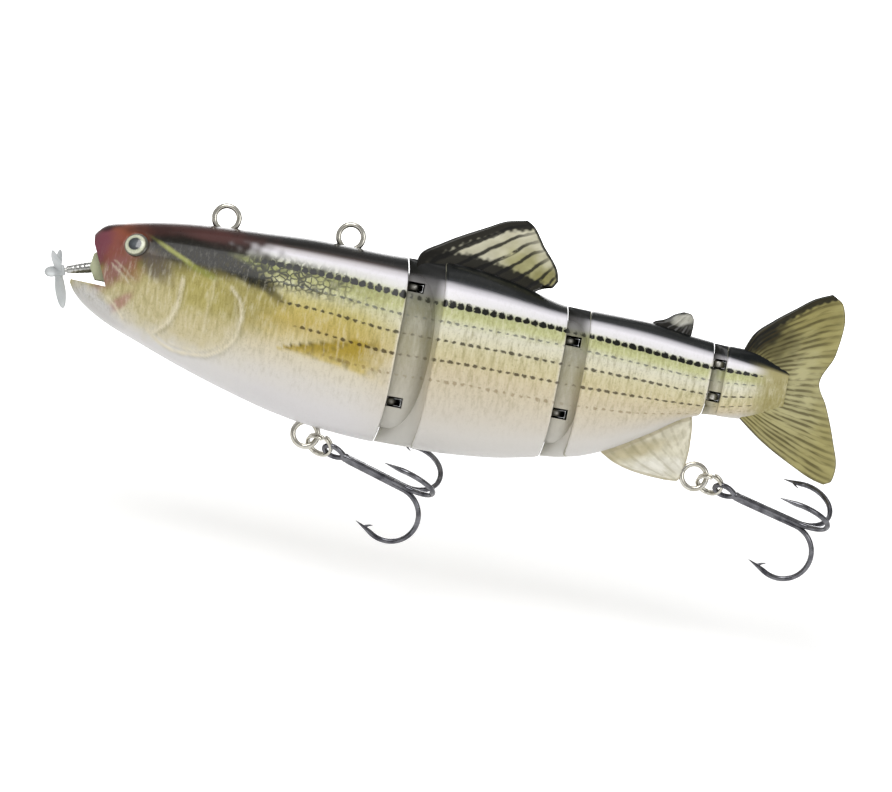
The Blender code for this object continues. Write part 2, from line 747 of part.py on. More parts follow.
def treble_hook(eye_front, angle, roll):
    """Three hooks about one shank, with the front of the eye's wire at eye_front."""
    eye_x = HOOK_EYE_LONG + HOOK_WIRE
    eye = wire(
        circle(HOOK_EYE_LONG, 16, HOOK_EYE_WIDE), HOOK_WIRE,
        Matrix.Translation((eye_x, 0, 0)) @ Matrix.Rotation(math.radians(-EYE_ROLL), 4, "X"), closed=True,
    )
    bend_x = HOOK_LENGTH - BEND_RADIUS - HOOK_WIRE
    core = rod(Vector((eye_x + HOOK_EYE_LONG, 0, 0)), Vector((bend_x - CORE_SHORT, 0, 0)), SHANK_CORE, steps=12)
    hooks = []
    points, tapers = hook_path()
    barb_at = Vector(points[-2])
    barb = rod(
        barb_at - Vector((BARB_BACK, 0, 0)),
        barb_at + BARB_LENGTH * Vector((BARB_SLOPE[0], 0, BARB_SLOPE[1])),
        BARB_ROOT_RADIUS, BARB_TIP_RADIUS, steps=6,
    )
    for i in range(HOOK_COUNT):
        spin = Matrix.Rotation(roll + 2 * math.pi * i / HOOK_COUNT, 4, "X")
        hook = joined(wire(points, HOOK_WIRE, tapers=tapers), barb.copy())
        hook.transform(spin)
        hooks.append(hook)
    whole = joined(eye, core, *hooks)
    whole.transform(chain_matrix(eye_front, angle, 0))
    return whole


def hook_chain(name, hanger, angles, parent):
    """The split ring and treble that hang from a loop: the ring swings about the loop, the hook about the
    ring's far wire."""
    chain_angle, hook_angle, roll = (math.radians(angle) for angle in angles)
    inside = LOOP_RADIUS - LOOP_WIRE - RING_WIRE - LINK_REACH
    ring_centre = hanger + direction(chain_angle) * (inside + RING_RADIUS)
    ring_body = body_empty(f"{name}_ring_axis", hanger, parent)
    node(f"{name}_split_ring", split_ring(ring_centre, chain_angle), "steel", ring_body)
    eye_front = ring_centre + direction(hook_angle) * (RING_RADIUS - RING_WIRE - HOOK_REACH - 2 * HOOK_WIRE)
    far_wire = ring_centre + direction(hook_angle) * RING_RADIUS
    hook_body = body_empty(f"{name}_hook_axis", far_wire, ring_body)
    node(f"{name}_treble", treble_hook(eye_front, hook_angle, roll), "black_nickel", hook_body)


# Drive train, in a frame whose +Z runs down the shaft towards the nose


def shaft_frame():
    x, z = placed(SHAFT_NOSE)
    forward = Vector((-math.cos(SHAFT_TILT), 0, -math.sin(SHAFT_TILT)))
    turn = Vector((0, 0, 1)).rotation_difference(forward).to_matrix().to_4x4()
    return Matrix.Translation((x, 0, z)) @ turn


def tube_profile(top, bottom, bore, top_radius, bottom_radius):
    """A closed profile, down its outer side and up its bore."""
    return [(top_radius, top), (bottom_radius, bottom), (bore, bottom), (bore, top)]


def blade():
    """One propeller blade along +X, twisted from root to tip."""
    rings = []
    count = 7
    for i in range(count):
        share = i / (count - 1)
        radius = BLADE_ROOT + share * (PROPELLER_RADIUS - BLADE_ROOT)
        swell = math.sin(math.pi * min(share * 1.05 + 0.08, 1)) ** BLADE_SWELL
        chord = BLADE_CHORD * (BLADE_ROOT_CHORD + (1 - BLADE_ROOT_CHORD) * swell)
        thick = BLADE_THICK * (1 + (BLADE_TIP_THICK - 1) * share)
        pitch = BLADE_ROOT_PITCH + share * (BLADE_TIP_PITCH - BLADE_ROOT_PITCH)
        ring = []
        for across, up in ((1, 0), (0.5, 1), (-0.5, 1), (-1, 0), (-0.5, -1), (0.5, -1)):
            a = across * chord / 2
            b = up * thick / 2
            ring.append(Vector((
                radius,
                a * math.cos(pitch) - b * math.sin(pitch),
                a * math.sin(pitch) + b * math.cos(pitch),
            )))
        rings.append(ring)
    return loft(rings)


def propeller(frame):
    base = TUBE_LENGTH + HUB_GAP
    nose = [(0, base + HUB_LENGTH + SPINNER_LENGTH)]
    for i in range(1, 5):
        turn = math.radians(90 * i / 4)
        nose.append((HUB_RADIUS * math.sin(turn), base + HUB_LENGTH + SPINNER_LENGTH * math.cos(turn)))
    bore = SHAFT_RADIUS + FIT
    depth = base + HUB_LENGTH * HUB_BORE
    hub = turned(nose + [(HUB_RADIUS, base), (bore, base), (bore, depth), (0, depth)], Matrix(), steps=20)
    blades = []
    for i in range(BLADE_COUNT):
        made = blade()
        made.transform(Matrix.Rotation(2 * math.pi * (i + 0.5) / BLADE_COUNT, 4, "Z"))
        made.transform(Matrix.Translation((0, 0, base + HUB_LENGTH / 2)))
        blades.append(made)
    whole = joined(hub, *blades)
    whole.transform(frame)
    return whole


def drive_train(head, spinning):
    """Everything on the shaft axis. Distances run forward from the mouth insert."""
    frame = shaft_frame()
    bore = SHAFT_RADIUS + SHAFT_CLEARANCE
    node("shaft_tube", turned(
        tube_profile(TUBE_LENGTH, -TUBE_SEATED, bore, TUBE_TIP_RADIUS, TUBE_ROOT_RADIUS), frame, closed=True,
    ), "steel", head)
    seal_top = -MOTOR_FRONT + MOTOR_GAP + SEAL_THICK
    node("shaft_seal", turned(
        tube_profile(seal_top, seal_top - SEAL_THICK, bore, SEAL_RADIUS, SEAL_RADIUS), frame, closed=True,
    ), "rubber", head)
    front = -MOTOR_FRONT
    back = front - MOTOR_LENGTH
    inner = MOTOR_RADIUS - CAN_WALL
    node("motor_can", turned([
        (bore, front), (MOTOR_RADIUS, front), (MOTOR_RADIUS, back), (inner, back), (inner, front - CAN_WALL),
        (bore, front - CAN_WALL),
    ], frame, closed=True), "steel", head)
    magnet = inner - FIT
    node("motor_magnet", turned(tube_profile(
        front - CAN_WALL - MOTOR_GAP, back + MOTOR_CAP + MOTOR_GAP, magnet - MAGNET_THICK, magnet, magnet,
    ), frame, closed=True), "ferrite", head)
    node("motor_end_cap", turned([
        (0, back + MOTOR_CAP), (inner - FIT, back + MOTOR_CAP), (inner - FIT, back), (0, back),
    ], frame), "black_wire", head)
    rotor_top = front - CAN_WALL - 2 * MOTOR_GAP
    rotor_bottom = back + MOTOR_CAP + 2 * MOTOR_GAP
    node("motor_rotor", turned(tube_profile(
        rotor_top, rotor_bottom, SHAFT_RADIUS + FIT, ROTOR_RADIUS, ROTOR_RADIUS,
    ), frame, closed=True), "copper", spinning)
    shaft_top = TUBE_LENGTH + HUB_GAP + HUB_LENGTH * HUB_BORE - MOTOR_GAP / 2
    shaft_base = back + MOTOR_CAP + MOTOR_GAP / 2
    shaft = rod(Vector((0, 0, shaft_base)), Vector((0, 0, shaft_top)), SHAFT_RADIUS, steps=12)
    shaft.transform(frame)
    node("motor_shaft", shaft, "steel", spinning)
    node("propeller", propeller(frame), "frosted_plastic", spinning)


def mouth_insert(frame):
    body = plate([placed(point) for point in MOUTH_INSERT], 2 * INSERT_HALF_WIDTH, UPRIGHT)
    bore = rod(Vector((0, 0, -INSERT_CUT)), Vector((0, 0, CUT_AHEAD)), SHAFT_RADIUS + SHAFT_CLEARANCE)
    seat = turned(
        [(0, CUT_AHEAD), (TUBE_ROOT_RADIUS + FIT, CUT_AHEAD), (TUBE_ROOT_RADIUS + FIT, -TUBE_SEATED - FIT),
         (0, -TUBE_SEATED - FIT)], Matrix(),
    )
    bore.transform(frame)
    seat.transform(frame)
    return cut(body, bore, seat)


# Eyes


def eye_frame(side):
    """A frame on the skin at the eye, with +Z outward. Side is -1 on the left and 1 on the right."""

    def skin_point(x, z):
        top = back_at(x)
        bottom = belly_at(x)
        level = widest_at(x)
        share = (z - level) / (top - level if z > level else level - bottom)
        half = width_at(x) * max(1 - abs(share) ** SECTION_POWER, 0) ** (1 / SECTION_POWER)
        return Vector((x, side * half, z))

    x, z = placed(EYE_AT)
    step = EYE_NORMAL_STEP
    along_x = skin_point(x + step, z) - skin_point(x - step, z)
    along_z = skin_point(x, z + step) - skin_point(x, z - step)
    normal = along_z.cross(along_x).normalized() * -side
    if normal.y * side < 0:
        normal.negate()
    turn = Vector((0, 0, 1)).rotation_difference(normal).to_matrix().to_4x4()
    return Matrix.Translation(skin_point(x, z)) @ turn


def eye(frame):
    seat = -EYE_SEAT + FIT
    profile = []
    for i in range(5):
        turn = math.radians(90 * i / 4)
        profile.append((EYE_RADIUS * math.sin(turn), EYE_DOME * math.cos(turn)))
    return turned(profile + [(EYE_RADIUS, seat), (0, seat)], frame)


def eye_pocket(frame):
    pocket = rod(Vector((0, 0, -EYE_SEAT)), Vector((0, 0, CUT_AHEAD)), EYE_RADIUS + FIT, steps=24)
    pocket.transform(frame)
    return pocket


# The sections


def ballast_rod(x, length):
    """A round weight that lies along the belly, clear of the floor at both ends."""
    floor = max(belly_at(x), belly_at(x + length)) + WALL
    start = Vector((x, 0, floor + BALLAST_RADIUS + BALLAST_LIFT))
    return rod(start, start + Vector((length, 0, 0)), BALLAST_RADIUS), start.z


def stack_heights():
    """Heights of the battery and board, stacked up from the ballast in the head."""
    ballast = ballast_rod(along(HEAD_BALLAST_X), HEAD_BALLAST_LENGTH)[1]
    battery = ballast + BALLAST_RADIUS + STACK_GAP + BATTERY_RADIUS
    board = battery + BATTERY_RADIUS + 2 * STACK_GAP + BOARD_THICK / 2
    return battery, board


def tie_places():
    places = []
    for x in (FRONT_TIE_X, REAR_TIE_X):
        places.append(Vector((along(x), 0, back_at(along(x)) + LOOP_STANDOFF)))
    return places


def belly_hanger_place():
    x = along(BELLY_HANGER_X)
    return Vector((x, 0, belly_at(x) - LOOP_STANDOFF))


def head_section(body):
    hinge = HINGES["front"]
    x = hinge_x(hinge)
    whole = skin(along(HEAD_FRONT), along(hinge["edge"]), 13, rear=hinge)
    frame = shaft_frame()
    insert = mouth_insert(frame)
    insert_room = plate([placed(point) for point in MOUTH_INSERT], 2 * (INSERT_HALF_WIDTH + FIT), UPRIGHT)
    bore = rod(Vector((0, 0, -SEAL_CUT)), Vector((0, 0, 0)), SEAL_RADIUS + FIT)
    bore.transform(frame)
    up = math.radians(90)
    ties = tie_places()
    cuts = [
        hollow(along(HOLLOW_FRONT), x - socket_size(hinge)[0] - WALL, 9),
        barrel(hinge, 0),
        plate([placed(point) for point in MOUTH], CUT_WIDTH, UPRIGHT),
        insert_room,
        bore,
        jaw_scoop(),
        loop_pocket(belly_hanger_place(), up, TWIST_RADIUS),
    ]
    cuts += [loop_pocket(place, -up, TWIST_RADIUS) for place in ties]
    cuts += [stem_box(hinge, z, FIT) for z in eye_heights(hinge)]
    cuts += [eye_pocket(eye_frame(side)) for side in (-1, 1)]
    halves("head_shell", cut(whole, *cuts), "printed_abs", body)
    node("mouth_insert", insert, "insert_plastic", body)
    for name, side in (("left", -1), ("right", 1)):
        node(f"eye_{name}", eye(eye_frame(side)), "eye_resin", body)
    for name, place in zip(("front", "rear"), ties):
        node(f"line_tie_{name}", loop_eye(place, -up, TWIST_RADIUS), "steel", body)
    node("belly_hanger", loop_eye(belly_hanger_place(), up, TWIST_RADIUS), "steel", body)
    for name, z in zip(("upper", "lower"), eye_heights(hinge)):
        node(f"front_hinge_eye_{name}", hinge_eye(hinge, z), "steel", body)


def jaw_scoop():
    """The hollow in the top of the lower jaw."""
    bm = bmesh.new()
    x, z = placed(JAW_SCOOP)
    bmesh.ops.create_uvsphere(
        bm, u_segments=16, v_segments=8, radius=1,
        matrix=Matrix.Translation((x, 0, z)) @ Matrix.Diagonal((*JAW_SCOOP_RADII, 1)),
    )
    return mesh_of(bm)


def head_internals(body):
    battery, board = stack_heights()
    node("head_ballast", ballast_rod(along(HEAD_BALLAST_X), HEAD_BALLAST_LENGTH)[0], "steel", body)
    start = Vector((along(BATTERY_X), 0, battery))
    end = start + Vector((BATTERY_LENGTH, 0, 0))
    node("battery_cell", rod(start, end, BATTERY_RADIUS, steps=24), "battery_wrap", body)
    low = Vector((along(BOARD_X), -BOARD_HALF_WIDTH, board - BOARD_THICK / 2))
    high = Vector((along(BOARD_X) + BOARD_LENGTH, BOARD_HALF_WIDTH, board + BOARD_THICK / 2))
    node("circuit_board", box(low, high), "board_green", body)
    led = Vector(((low.x + high.x) / 2, 0, high.z + STACK_GAP / 2))
    node("status_led", box(
        led - Vector((LED_SIDE / 2, LED_SIDE / 2, 0)), led + Vector((LED_SIDE / 2, LED_SIDE / 2, LED_SIDE)),
    ), "red_led", body)


def lead(name, points, finish, body):
    """An insulated lead on a smooth curve through its points."""
    spots = [Vector(point) for point in points]
    padded = [2 * spots[0] - spots[1], *spots, 2 * spots[-1] - spots[-2]]
    route = []
    for before, start, end, after in zip(padded, padded[1:], padded[2:], padded[3:]):
        for i in range(LEAD_STEPS):
            s = i / LEAD_STEPS
            route.append(0.5 * (
                2 * start + s * (end - before) + s * s * (2 * before - 5 * start + 4 * end - after)
                + s**3 * (3 * start - before - 3 * end + after)
            ))
    node(name, wire([*route, spots[-1]], LEAD_RADIUS, sides=1), finish, body)


def head_leads(body):
    """Leads from the motor, the battery and the two line ties to the circuit board."""
    battery, board = stack_heights()
    front = along(BOARD_X)
    above = board + BOARD_THICK / 2 + LEAD_GAP + LEAD_RADIUS
    motor_end = shaft_frame() @ Vector((0, 0, -MOTOR_FRONT - MOTOR_LENGTH - LEAD_GAP))
    battery_front = along(BATTERY_X) - LEAD_GAP
    for side, colour in ((-1, "red"), (1, "black")):
        y = side * LEAD_SPREAD
        lead(f"motor_lead_{colour}", [
            motor_end + Vector((0, y / 2, 0)), (front - LEAD_LANDING, y, (motor_end.z + above) / 2 + LEAD_RISE),
            (front + LEAD_LANDING, y, above),
        ], f"{colour}_wire", body)
        lead(f"battery_lead_{colour}", [
            (battery_front, y, battery), (battery_front - LEAD_LOOP, y, (battery + board) / 2),
            (front - LEAD_GAP, y, board),
        ], f"{colour}_wire", body)
    shank_end = SHANK_ROOT + SHANK_LENGTH + LEAD_GAP
    landings = (front + FRONT_TIE_LANDING, front + BOARD_LENGTH - LEAD_LANDING)
    for name, place, x in zip(("front", "rear"), tie_places(), landings):
        end = place - Vector((0, 0, shank_end))
        lead(f"contact_lead_{name}", [end, ((end.x + x) / 2, 0, (end.z + above) / 2), (x, 0, above)],
             "black_wire", body)


def section_between(name, body, hinge, next_hinge, count, fins, more_cuts=()):
    """A hollow section with a neck in front and a socket behind."""
    start = along(hinge["shoulder"])
    whole = skin(start, along(next_hinge["edge"]), count, front=hinge, rear=next_hinge)
    whole = joined(whole, neck(hinge), *fins)
    socket_front = hinge_x(next_hinge) - socket_size(next_hinge)[0]
    cuts = [hollow(start + WALL, socket_front - WALL, 5), barrel(next_hinge, 0)]
    cuts += hinge_cuts(hinge)
    cuts += [stem_box(next_hinge, z, FIT) for z in eye_heights(next_hinge)]
    halves(name, cut(whole, *cuts, *more_cuts), "printed_abs", body)


def hinge_hardware(name, hinge, pin_body, eye_body=None):
    start, end = pin_ends(hinge)
    node(f"{name}_hinge_pin", rod(end, start, PIN_RADIUS, steps=12), "steel", pin_body)
    if eye_body:
        for level, z in zip(("upper", "lower"), eye_heights(hinge)):
            node(f"{name}_hinge_eye_{level}", hinge_eye(hinge, z), "steel", eye_body)


def mid_section(body):
    section_between("mid_shell", body, HINGES["front"], HINGES["middle"], 5, [fin(DORSAL_FIN)])
    hinge_hardware("front", HINGES["front"], body)
    node("mid_ballast", ballast_rod(along(MID_BALLAST_X), MID_BALLAST_LENGTH)[0], "steel", body)


def rear_hanger_place():
    x, z = placed(REAR_HANGER)
    return Vector((x, 0, z))


def rear_section(body, mid_body):
    place = rear_hanger_place()
    side = Vector((0, FIN_THICK, 0))
    notch = rod(place - side, place + side, LOOP_RADIUS + LOOP_WIRE + FIT, steps=24)
    way = direction(REAR_SHANK_TILT)
    end = place + way * (SHANK_ROOT + SHANK_LENGTH + FIT)
    shank = rod(place + way * POCKET_START, end, STRAIGHT_RADIUS + FIT, steps=12)
    section_between(
        "rear_shell", body, HINGES["middle"], HINGES["tail"], 5, [fin(ADIPOSE_FIN), fin(ANAL_FIN)],
        more_cuts=[notch, shank],
    )
    hinge_hardware("middle", HINGES["middle"], body, mid_body)
    node("rear_hanger", loop_eye(place, REAR_SHANK_TILT, STRAIGHT_RADIUS), "steel", body)


def tail_section(body, rear_body):
    hinge = HINGES["tail"]
    whole = skin(along(hinge["shoulder"]), along(TAIL_ROOT_END), 6, front=hinge)
    whole = joined(whole, neck(hinge), fin(TAIL_FIN))
    halves("tail_shell", cut(whole, *hinge_cuts(hinge)), "printed_abs", body)
    hinge_hardware("tail", hinge, body, rear_body)


def main():
    head = body_empty("head", Vector((0, 0, 0)))
    spinning = body_empty("propeller_axis", shaft_frame().translation, head)
    mid = body_empty("front_hinge_axis", Vector((hinge_x(HINGES["front"]), 0, 0)), head)
    rear = body_empty("middle_hinge_axis", Vector((hinge_x(HINGES["middle"]), 0, 0)), mid)
    tail = body_empty("tail_hinge_axis", Vector((hinge_x(HINGES["tail"]), 0, 0)), rear)
    head_section(head)
    head_internals(head)
    head_leads(head)
    drive_train(head, spinning)
    mid_section(mid)
    rear_section(rear, mid)
    tail_section(tail, rear)
    hook_chain("belly", belly_hanger_place(), BELLY_CHAIN, head)
    hook_chain("rear", rear_hanger_place(), REAR_CHAIN, rear)


clear_scene()
parts = new_collection("swimbait")
cutters = new_collection("cutters")
cutters.hide_render = True
main()
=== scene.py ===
"""Looks of a jointed, self-propelled swimbait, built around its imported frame.

Lengths inside the classes are in millimetres and become metres when a shape is made a mesh. +X runs aft, -Y is the
lure's left side, +Z is up, and the origin is the centre of the front line tie.
"""

import json
import logging
import math
from collections.abc import Sequence
from dataclasses import dataclass, field
from enum import Enum

import bmesh
import bpy
import numpy as np
from mathutils import Matrix, Vector
from numpy.typing import NDArray


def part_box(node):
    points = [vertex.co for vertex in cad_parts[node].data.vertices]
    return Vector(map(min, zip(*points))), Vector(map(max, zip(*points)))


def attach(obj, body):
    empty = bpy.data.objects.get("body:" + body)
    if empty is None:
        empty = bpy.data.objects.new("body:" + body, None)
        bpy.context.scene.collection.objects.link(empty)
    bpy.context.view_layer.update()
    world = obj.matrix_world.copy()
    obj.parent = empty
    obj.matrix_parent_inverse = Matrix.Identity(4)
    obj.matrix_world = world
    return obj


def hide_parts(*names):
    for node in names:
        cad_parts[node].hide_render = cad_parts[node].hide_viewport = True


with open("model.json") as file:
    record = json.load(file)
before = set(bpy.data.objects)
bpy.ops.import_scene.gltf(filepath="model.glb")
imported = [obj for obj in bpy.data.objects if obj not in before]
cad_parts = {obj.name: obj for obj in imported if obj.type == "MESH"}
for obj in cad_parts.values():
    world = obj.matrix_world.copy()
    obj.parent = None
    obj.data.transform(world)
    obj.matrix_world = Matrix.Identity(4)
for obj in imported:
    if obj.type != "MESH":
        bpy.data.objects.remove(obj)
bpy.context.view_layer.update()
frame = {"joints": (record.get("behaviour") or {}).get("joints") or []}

Array = NDArray[np.float64]
Pair = tuple[float, float]
Colour = tuple[float, float, float, float]

MM = 0.001
MERGE = 0.002  # points nearer than this are one
AXIS_RADIUS = 0.004  # of a turned shape where it meets its axis
SMOOTH_ANGLE = math.radians(38.0)

log = logging.getLogger("swimbait")


class Side(Enum):
    """The two moulded halves, by the sign of their Y."""

    LEFT = -1
    RIGHT = 1

    @property
    def word(self) -> str:
        """The half's name in lower case."""
        return self.name.lower()


def linear(colour: str) -> Colour:
    """Turns an sRGB hex value into a linear colour with full alpha.

    Args:
        colour: six hex digits.

    Returns:
        Red, green, blue and alpha, each from 0 to 1.
    """
    channels = [int(colour[i : i + 2], 16) / 255 for i in (0, 2, 4)]
    red, green, blue = (c / 12.92 if c <= 0.04045 else ((c + 0.055) / 1.055) ** 2.4 for c in channels)
    return red, green, blue, 1.0


def washed(colour: Array, tint: str | Array, share: Array) -> Array:
    """Lays a tint, or one colour for each point, over the colours by its share."""
    over = np.array(linear(tint)) if isinstance(tint, str) else tint
    return colour + share[:, None] * (over - colour)


def smooth_step(low: float, high: float, value: Array) -> Array:
    """0 below low, 1 above high, and 3t^2 - 2t^3 between them."""
    share = np.clip((value - low) / (high - low), 0, 1)
    return share * share * (3 - 2 * share)


@dataclass(frozen=True)
class Outline:
    """A curve through (x, value) points that adds no bumps between them.

    Each tangent is the weighted harmonic mean of the slopes beside it, or level where they change sign, and the
    curve between two points is the cubic with those tangents.
    """

    points: tuple[Pair, ...]

    def __call__(self, at: Array | float) -> Array:
        """The curve's value at each x.

        Args:
            at: x in millimetres.

        Returns:
            The values, in the shape of at.
        """
        x, y = np.array(self.points, float).T
        step = np.diff(x)
        slope = np.diff(y) / step
        before = 2 * step[1:] + step[:-1]
        after = step[1:] + 2 * step[:-1]
        same = slope[:-1] * slope[1:] > 0
        safe = np.where(same, slope[:-1], 1), np.where(same, slope[1:], 1)
        inner = np.where(same, (before + after) / (before / safe[0] + after / safe[1]), 0)
        tangent = np.concatenate(([slope[0]], inner, [slope[-1]]))
        i = np.clip(np.searchsorted(x, at) - 1, 0, len(step) - 1)
        s = np.clip((at - x[i]) / step[i], 0, 1)
        return (
            (1 + 2 * s) * (1 - s) ** 2 * y[i]
            + s * (1 - s) ** 2 * step[i] * tangent[i]
            + s * s * (3 - 2 * s) * y[i + 1]
            + s * s * (s - 1) * step[i] * tangent[i + 1]
        )


def along_points(points: Sequence[Pair], shares: Array) -> Array:
    """Points at shares of the length of a smooth curve through given points.

    The curve is a monotone cubic of x and of z over the length of the straight lines between the points.

    Args:
        points: (x, z) in millimetres.
        shares: from 0 to 1.

    Returns:
        One (x, z) for each share.
    """
    spots = np.array(points, float)
    reach = np.concatenate(([0.0], np.cumsum(np.hypot(*np.diff(spots, axis=0).T))))
    reach /= reach[-1]
    parts = [Outline(tuple(zip(reach, spots[:, k])))(shares) for k in (0, 1)]
    return np.stack(parts, axis=-1)


# Shapes


@dataclass
class Shape:
    """Points in millimetres and faces that close round a body."""

    points: Array
    faces: list[list[int]]

    def turned_out(self) -> "Shape":
        """The same body with its faces pointing outwards, found from the sign of its volume.

        Returns:
            The shape itself.
        """
        volume = 0.0
        for count in {len(face) for face in self.faces}:
            rings = np.array([face for face in self.faces if len(face) == count])
            corners = self.points[rings]
            for k in range(1, count - 1):
                volume += float(np.linalg.det(corners[:, [0, k, k + 1]]).sum())
        if volume < 0:
            self.faces = [face[::-1] for face in self.faces]
        return self

    def moved(self, matrix: Matrix) -> "Shape":
        """A copy placed by a matrix whose translation is in millimetres.

        Args:
            matrix: its translation is in millimetres.

        Returns:
            The moved shape.
        """
        turn = np.array(matrix)
        points = self.points @ turn[:3, :3].T + turn[:3, 3]
        return Shape(points, [list(face) for face in self.faces]).turned_out()

    def __add__(self, other: "Shape") -> "Shape":
        """Both bodies in one shape.

        Args:
            other: the second shape.

        Returns:
            One shape.
        """
        shift = len(self.points)
        faces = self.faces + [[i + shift for i in face] for face in other.faces]
        return Shape(np.concatenate((self.points, other.points)), faces)

    def piece(self, name: str) -> bpy.types.Object:
        """Makes the shape an object at the origin, with its place in its mesh.

        Args:
            name: the piece's name.

        Returns:
            The new object.
        """
        mesh = bpy.data.meshes.new(name)
        mesh.from_pydata((self.points * MM).tolist(), [], self.faces)
        mesh.update()
        mesh.shade_smooth()
        mesh.set_sharp_from_angle(angle=SMOOTH_ANGLE)
        made = bpy.data.objects.new(name, mesh)
        bpy.context.scene.collection.objects.link(made)
        return made

    def merged_piece(self, name: str) -> bpy.types.Object:
        """The same with the points that lie on each other merged, for the Booleans.

        Args:
            name: the piece's name.

        Returns:
            The new object.
        """
        made = self.piece(name)
        bm = bmesh.new()
        bm.from_mesh(made.data)
        bmesh.ops.remove_doubles(bm, verts=bm.verts, dist=MERGE * MM)
        bmesh.ops.dissolve_degenerate(bm, edges=bm.edges, dist=MERGE * MM)
        bmesh.ops.recalc_face_normals(bm, faces=bm.faces)
        bm.to_mesh(made.data)
        bm.free()
        return made


def quads(rows: int, columns: int, wrap_rows: bool = False, wrap_columns: bool = False) -> Array:
    """Corner numbers of the quads of a grid of points, which may join up in either way.

    Args:
        rows: number of rows of points.
        columns: number of points in a row.
        wrap_rows: whether the last row joins the first.
        wrap_columns: whether each row is a ring.

    Returns:
        Four corner numbers for each quad.
    """
    i, j = np.meshgrid(np.arange(rows - (not wrap_rows)), np.arange(columns - (not wrap_columns)), indexing="ij")
    k = (i + 1) % rows
    m = (j + 1) % columns
    return np.stack([i * columns + j, i * columns + m, k * columns + m, k * columns + j], axis=-1).reshape(-1, 4)


def caps(count: int, total: int) -> list[list[int]]:
    """The two end faces of rings of count points, total points in all."""
    return [list(range(count)), list(range(total - count, total))[::-1]]


def between(outer: Array, inner: Array) -> Shape:
    """The body between two grids of the same size, with its four edges closed by strips.

    Args:
        outer: rows x columns x 3.
        inner: the same.

    Returns:
        A closed shape.
    """
    rows, columns = outer.shape[:2]
    loop = np.concatenate((outer, inner[:, ::-1]), axis=1)
    faces = quads(rows, 2 * columns, wrap_columns=True)
    j = np.arange(columns - 1)
    other = 2 * columns - 1 - j
    front = np.stack([j, other, other - 1, j + 1], axis=-1)
    rear = front[:, ::-1] + (rows - 1) * 2 * columns
    return Shape(loop.reshape(-1, 3), np.concatenate((faces, front, rear)).tolist()).turned_out()


def swept(path: Array, radii: Array | float, reference: Array, sides: int = 14, closed: bool = False,
          flat: float = 1.0) -> Shape:
    """A round or oval profile carried along a path.

    At each point the profile lies across the path: one of its axes is the reference crossed with the path's own
    direction, and the other is the direction crossed with that.

    Args:
        path: n x 3.
        radii: the radius at each point, or one for all.
        reference: a direction, or one for each point, that the path never runs along.
        sides: points round the profile.
        closed: whether the path joins up with itself.
        flat: share of the radius in the second direction.

    Returns:
        A closed shape.
    """
    if closed:
        way = np.roll(path, -1, axis=0) - np.roll(path, 1, axis=0)
    else:
        way = np.gradient(path, axis=0)
    way /= np.linalg.norm(way, axis=1, keepdims=True)
    across = np.cross(np.broadcast_to(reference, path.shape), way)
    across /= np.linalg.norm(across, axis=1, keepdims=True)
    up = np.cross(way, across)
    turn = np.linspace(0, 2 * math.pi, sides, endpoint=False)
    size = np.broadcast_to(radii, len(path))[:, None, None]
    ring = np.cos(turn)[None, :, None] * across[:, None] + flat * np.sin(turn)[None, :, None] * up[:, None]
    points = (path[:, None] + size * ring).reshape(-1, 3)
    faces = quads(len(path), sides, wrap_rows=closed, wrap_columns=True).tolist()
    if not closed:
        faces += caps(sides, len(points))
    return Shape(points, faces).turned_out()


def turned(profile: Sequence[Pair], steps: int = 64, closed: bool = False) -> Shape:
    """A profile of (radius, height) points turned about Z: x = r cos a, y = r sin a.

    Args:
        profile: from end to end. An open profile is closed by a flat face at each end.
        steps: points round the axis.
        closed: whether the profile is a ring of its own.

    Returns:
        A closed shape.
    """
    radius, height = np.array(profile, float).T
    turn = np.linspace(0, 2 * math.pi, steps, endpoint=False)
    points = np.stack([
        np.outer(np.maximum(radius, AXIS_RADIUS), np.cos(turn)),
        np.outer(np.maximum(radius, AXIS_RADIUS), np.sin(turn)),
        np.outer(height, np.ones(steps)),
    ], axis=-1)
    faces = quads(len(radius), steps, wrap_rows=closed, wrap_columns=True).tolist()
    if not closed:
        faces += caps(steps, len(radius) * steps)
    return Shape(points.reshape(-1, 3), faces).turned_out()


def block(low: Sequence[float], high: Sequence[float]) -> Shape:
    """A box between two corners, as the body between its two ends.

    Args:
        low: lowest corner.
        high: highest corner.

    Returns:
        A closed shape.
    """
    low, high = np.array(low, float), np.array(high, float)
    corner = np.array([[(0, 0), (0, 1)], [(1, 0), (1, 1)]], float)
    ends = []
    for x in (low[0], high[0]):
        sheet = low[1:] + corner * (high[1:] - low[1:])
        ends.append(np.concatenate((np.full((2, 2, 1), x), sheet), axis=-1))
    return between(ends[0], ends[1])


def cut(target: Shape, *tools: Shape) -> Shape:
    """Takes the tools away from the target with exact Booleans.

    Args:
        target: the body that is cut.
        tools: the bodies that cut it.

    Returns:
        What is left.
    """
    whole = target.merged_piece("target")
    for tool in tools:
        cutter = tool.merged_piece("tool")
        modifier = whole.modifiers.new("cut", "BOOLEAN")
        modifier.operation = "DIFFERENCE"
        modifier.solver = "EXACT"
        modifier.use_hole_tolerant = True
        modifier.object = cutter
    bpy.context.view_layer.update()
    made = bpy.data.meshes.new_from_object(whole.evaluated_get(bpy.context.evaluated_depsgraph_get()))
    points = np.empty(len(made.vertices) * 3)
    made.vertices.foreach_get("co", points)
    faces = [list(face.vertices) for face in made.polygons]
    for modifier in list(whole.modifiers):
        bpy.data.objects.remove(modifier.object, do_unlink=True)
    bpy.data.objects.remove(whole, do_unlink=True)
    bpy.data.meshes.remove(made)
    return Shape(points.reshape(-1, 3) / MM, faces)


def node_box(node: str) -> tuple[Array, Array]:
    """Lowest and highest corner of a node of the frame, in millimetres."""
    low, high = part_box(node)
    return np.array(low) / MM, np.array(high) / MM


